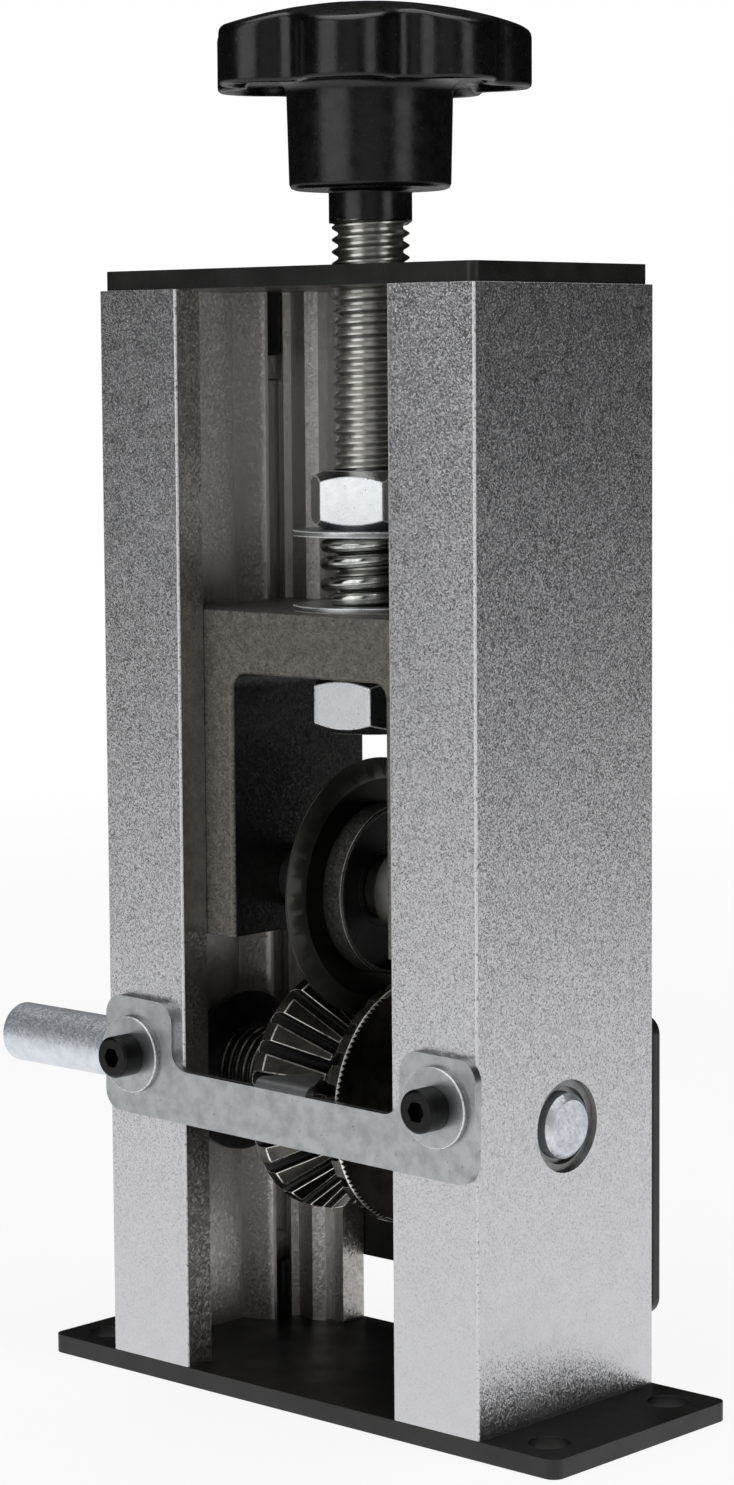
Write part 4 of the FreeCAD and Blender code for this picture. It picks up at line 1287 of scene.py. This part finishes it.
# ---------------------------------------------------------------- studio
@dataclass
class Studio:
    """Pale floor, dark surround, tall softboxes with one overhead, and the camera."""

    camera_at: tuple[float, float, float] = (0.4019, -0.4402, 0.1709)
    heading_deg: float = 42.51
    pitch_deg: float = -5.92
    roll_deg: float = -0.41
    focal_mm: float = 87.88
    sensor_mm: float = 36.0
    shift: float = -0.002
    nearest: float = 0.01
    matt: float = 0.9
    floor_sides: int = 64
    floor_radius: float = 40.0
    seen_radius: tuple[float, float] = (0.35, 0.9)
    seen_share: tuple[float, float] = (0.88, 1.0)
    mirrored_radius: tuple[float, float] = (0.24, 0.8)
    mirrored_share: tuple[float, float] = (1.0, 0.0)
    surround_sides: int = 48
    surround_radius: float = 2.2
    surround_foot: float = 0.02
    surround_top: float = 2.6
    side_distance: float = 1.1
    side_height: float = 1.3
    side_foot: float = 0.08
    side_radiance: float = 1.5
    left_azimuth_deg: float = -98.0
    left_width: float = 0.84
    right_azimuth_deg: float = 0.0
    right_width: float = 0.42
    top_height: float = 1.5
    top_size: tuple[float, float] = (1.6, 1.6)
    top_radiance: float = 2.0
    top_aim: tuple[float, float, float] = (0, 0.001, 0)
    fill_azimuth_deg: float = -47.0
    fill_width: float = 0.8
    fill_distance: float = 1.3
    fill_radiance: float = 0.3
    world_fill: float = 0.5
    world_shown: float = 1.0

    def camera(self) -> None:
        """Places the camera at the viewing angle."""
        data = bpy.data.cameras.new("camera")
        data.sensor_fit = "VERTICAL"
        data.sensor_height = self.sensor_mm
        data.lens = self.focal_mm
        data.shift_y = self.shift
        data.clip_start = self.nearest
        camera = bpy.data.objects.new("camera", data)
        turn = (
            Matrix.Rotation(math.radians(self.heading_deg), 4, "Z")
            @ Matrix.Rotation(math.radians(90 + self.pitch_deg), 4, "X")
            @ Matrix.Rotation(math.radians(self.roll_deg), 4, "Z")
        )
        camera.matrix_world = Matrix.Translation(self.camera_at) @ turn
        bpy.context.scene.collection.objects.link(camera)
        bpy.context.scene.camera = camera

    @staticmethod
    def stand(mesh: bmesh.types.BMesh, name: str, material: bpy.types.Material) -> bpy.types.Object:
        """Puts up a part of the studio, which is no piece of the object.

        Args:
            mesh: its geometry; it is freed.
            name: its name.
            material: its material.

        Returns:
            The new object.
        """
        data = bpy.data.meshes.new(name)
        mesh.to_mesh(data)
        mesh.free()
        data.materials.append(material)
        stood = bpy.data.objects.new(name, data)
        bpy.context.scene.collection.objects.link(stood)
        return stood

    def floor(self) -> None:
        """A white floor that the camera sees nearly white, with the object's soft shadow."""
        mesh = bmesh.new()
        bmesh.ops.create_circle(mesh, cap_ends=True, segments=self.floor_sides, radius=self.floor_radius)
        paper = Surface("white paper floor", "F4F4F4", 0.0, self.matt)
        tree = paper.tree
        path = add_node(tree, "ShaderNodeLightPath")
        place = add_node(tree, "ShaderNodeTexCoord").outputs["Object"]
        away = add_node(tree, "ShaderNodeVectorMath", {0: place}, operation="LENGTH").outputs["Value"]
        shares = []
        for ray, radius, share in (
            ("Is Camera Ray", self.seen_radius, self.seen_share),
            ("Is Glossy Ray", self.mirrored_radius, self.mirrored_share),
        ):
            limits = {"Value": away, "From Min": radius[0], "From Max": radius[1]}
            limits |= {"To Min": share[0], "To Max": share[1]}
            fading = add_node(tree, "ShaderNodeMapRange", limits)
            factors = {0: path.outputs[ray], 1: fading}
            shares.append(add_node(tree, "ShaderNodeMath", factors, operation="MULTIPLY"))
        seen = add_node(tree, "ShaderNodeMath", dict(enumerate(shares)), operation="MAXIMUM")
        white = add_node(tree, "ShaderNodeEmission", {"Color": (1, 1, 1, 1), "Strength": 1.0})
        mixed = add_node(tree, "ShaderNodeMixShader", {0: seen, 1: paper.shader, 2: white})
        tree.links.new(mixed.outputs[0], tree.nodes["Material Output"].inputs["Surface"])
        self.stand(mesh, "floor", paper.material)

    def surround(self) -> None:
        """Dark studio walls and ceiling, which only light and reflections meet."""
        mesh = bmesh.new()
        ring = bmesh.ops.create_circle(
            mesh, segments=self.surround_sides, radius=self.surround_radius
        )
        bmesh.ops.translate(mesh, verts=ring["verts"], vec=(0, 0, self.surround_foot))
        grown = bmesh.ops.extrude_edge_only(mesh, edges=list(mesh.edges))["geom"]
        top = [g for g in grown if isinstance(g, bmesh.types.BMVert)]
        bmesh.ops.translate(mesh, verts=top, vec=(0, 0, self.surround_top - self.surround_foot))
        rim = [g for g in grown if isinstance(g, bmesh.types.BMEdge)]
        bmesh.ops.edgeloop_fill(mesh, edges=rim)
        paint = Surface("dark studio wall", "303032", 0.0, self.matt)
        walls = self.stand(mesh, "studio_walls", paint.material)
        walls.visible_camera = False
        walls.visible_shadow = False

    @staticmethod
    def softbox(
        name: str, place: Vector, aim: Vector, size: tuple[float, float], radiance: float
    ) -> None:
        """A rectangular soft light.

        Args:
            name: the lamp's name.
            place: its centre.
            aim: the point that it faces.
            size: its width and height.
            radiance: its surface's brightness, where 1 shows as white.
        """
        data = bpy.data.lights.new(name, "AREA")
        data.shape = "RECTANGLE"
        data.size, data.size_y = size
        data.energy = radiance * math.pi * size[0] * size[1]
        lamp = bpy.data.objects.new(name, data)
        turn = (aim - place).to_track_quat("-Z", "Y").to_matrix().to_4x4()
        lamp.matrix_world = Matrix.Translation(place) @ turn
        bpy.context.scene.collection.objects.link(lamp)

    def side_softbox(
        self, name: str, azimuth_deg: float, width: float, distance: float, radiance: float
    ) -> None:
        """A tall softbox that stands just above the floor and faces the object.

        Args:
            name: the lamp's name.
            azimuth_deg: its direction from the object, from +X towards +Y.
            width: its width.
            distance: how far from the object it stands.
            radiance: its surface's brightness, where 1 shows as white.
        """
        azimuth = math.radians(azimuth_deg)
        aim = Vector((0, 0, self.side_foot + self.side_height / 2))
        place = aim + Vector((math.cos(azimuth), math.sin(azimuth), 0)) * distance
        self.softbox(name, place, aim, (width, self.side_height), radiance)

    def top_softbox(self) -> None:
        """A broad softbox overhead, which lights the floor and the upper faces."""
        place = Vector((0, 0, self.top_height))
        self.softbox("top softbox", place, Vector(self.top_aim), self.top_size, self.top_radiance)

    def world(self) -> None:
        """A white background for the camera and for what metal shows, and a dim fill otherwise."""
        world = bpy.data.worlds.new("studio world")
        world.use_nodes = True
        tree = world.node_tree
        background = tree.nodes["Background"]
        path = add_node(tree, "ShaderNodeLightPath")
        shown = path.outputs["Is Camera Ray"]
        for ray in ("Is Glossy Ray", "Is Transmission Ray"):
            either = {0: shown, 1: path.outputs[ray]}
            shown = add_node(tree, "ShaderNodeMath", either, operation="MAXIMUM")
        limits = {"Value": shown, "To Min": self.world_fill, "To Max": self.world_shown}
        strength = add_node(tree, "ShaderNodeMapRange", limits)
        background.inputs["Color"].default_value = (1, 1, 1, 1)
        tree.links.new(strength.outputs[0], background.inputs["Strength"])
        bpy.context.scene.world = world

    def build(self) -> None:
        """Builds the whole studio."""
        bpy.context.scene.view_settings.view_transform = "Standard"
        self.camera()
        self.world()
        self.floor()
        self.surround()
        for name, azimuth_deg, width in (
            ("right softbox", self.right_azimuth_deg, self.right_width),
            ("left softbox", self.left_azimuth_deg, self.left_width),
        ):
            self.side_softbox(name, azimuth_deg, width, self.side_distance, self.side_radiance)
        self.side_softbox(
            "front fill", self.fill_azimuth_deg, self.fill_width, self.fill_distance, self.fill_radiance
        )
        self.top_softbox()


def main() -> None:
    """Builds the studio and every sub-assembly in order."""
    logging.basicConfig(level=logging.INFO, format="%(message)s")
    for part in (Studio(), FrameParts(), DriveRoller(), CuttingHead(), PressingScrew(), WireGuide()):
        part.build()
        log.info("%s built", type(part).__name__)


if __name__ == "__main__":
    main()
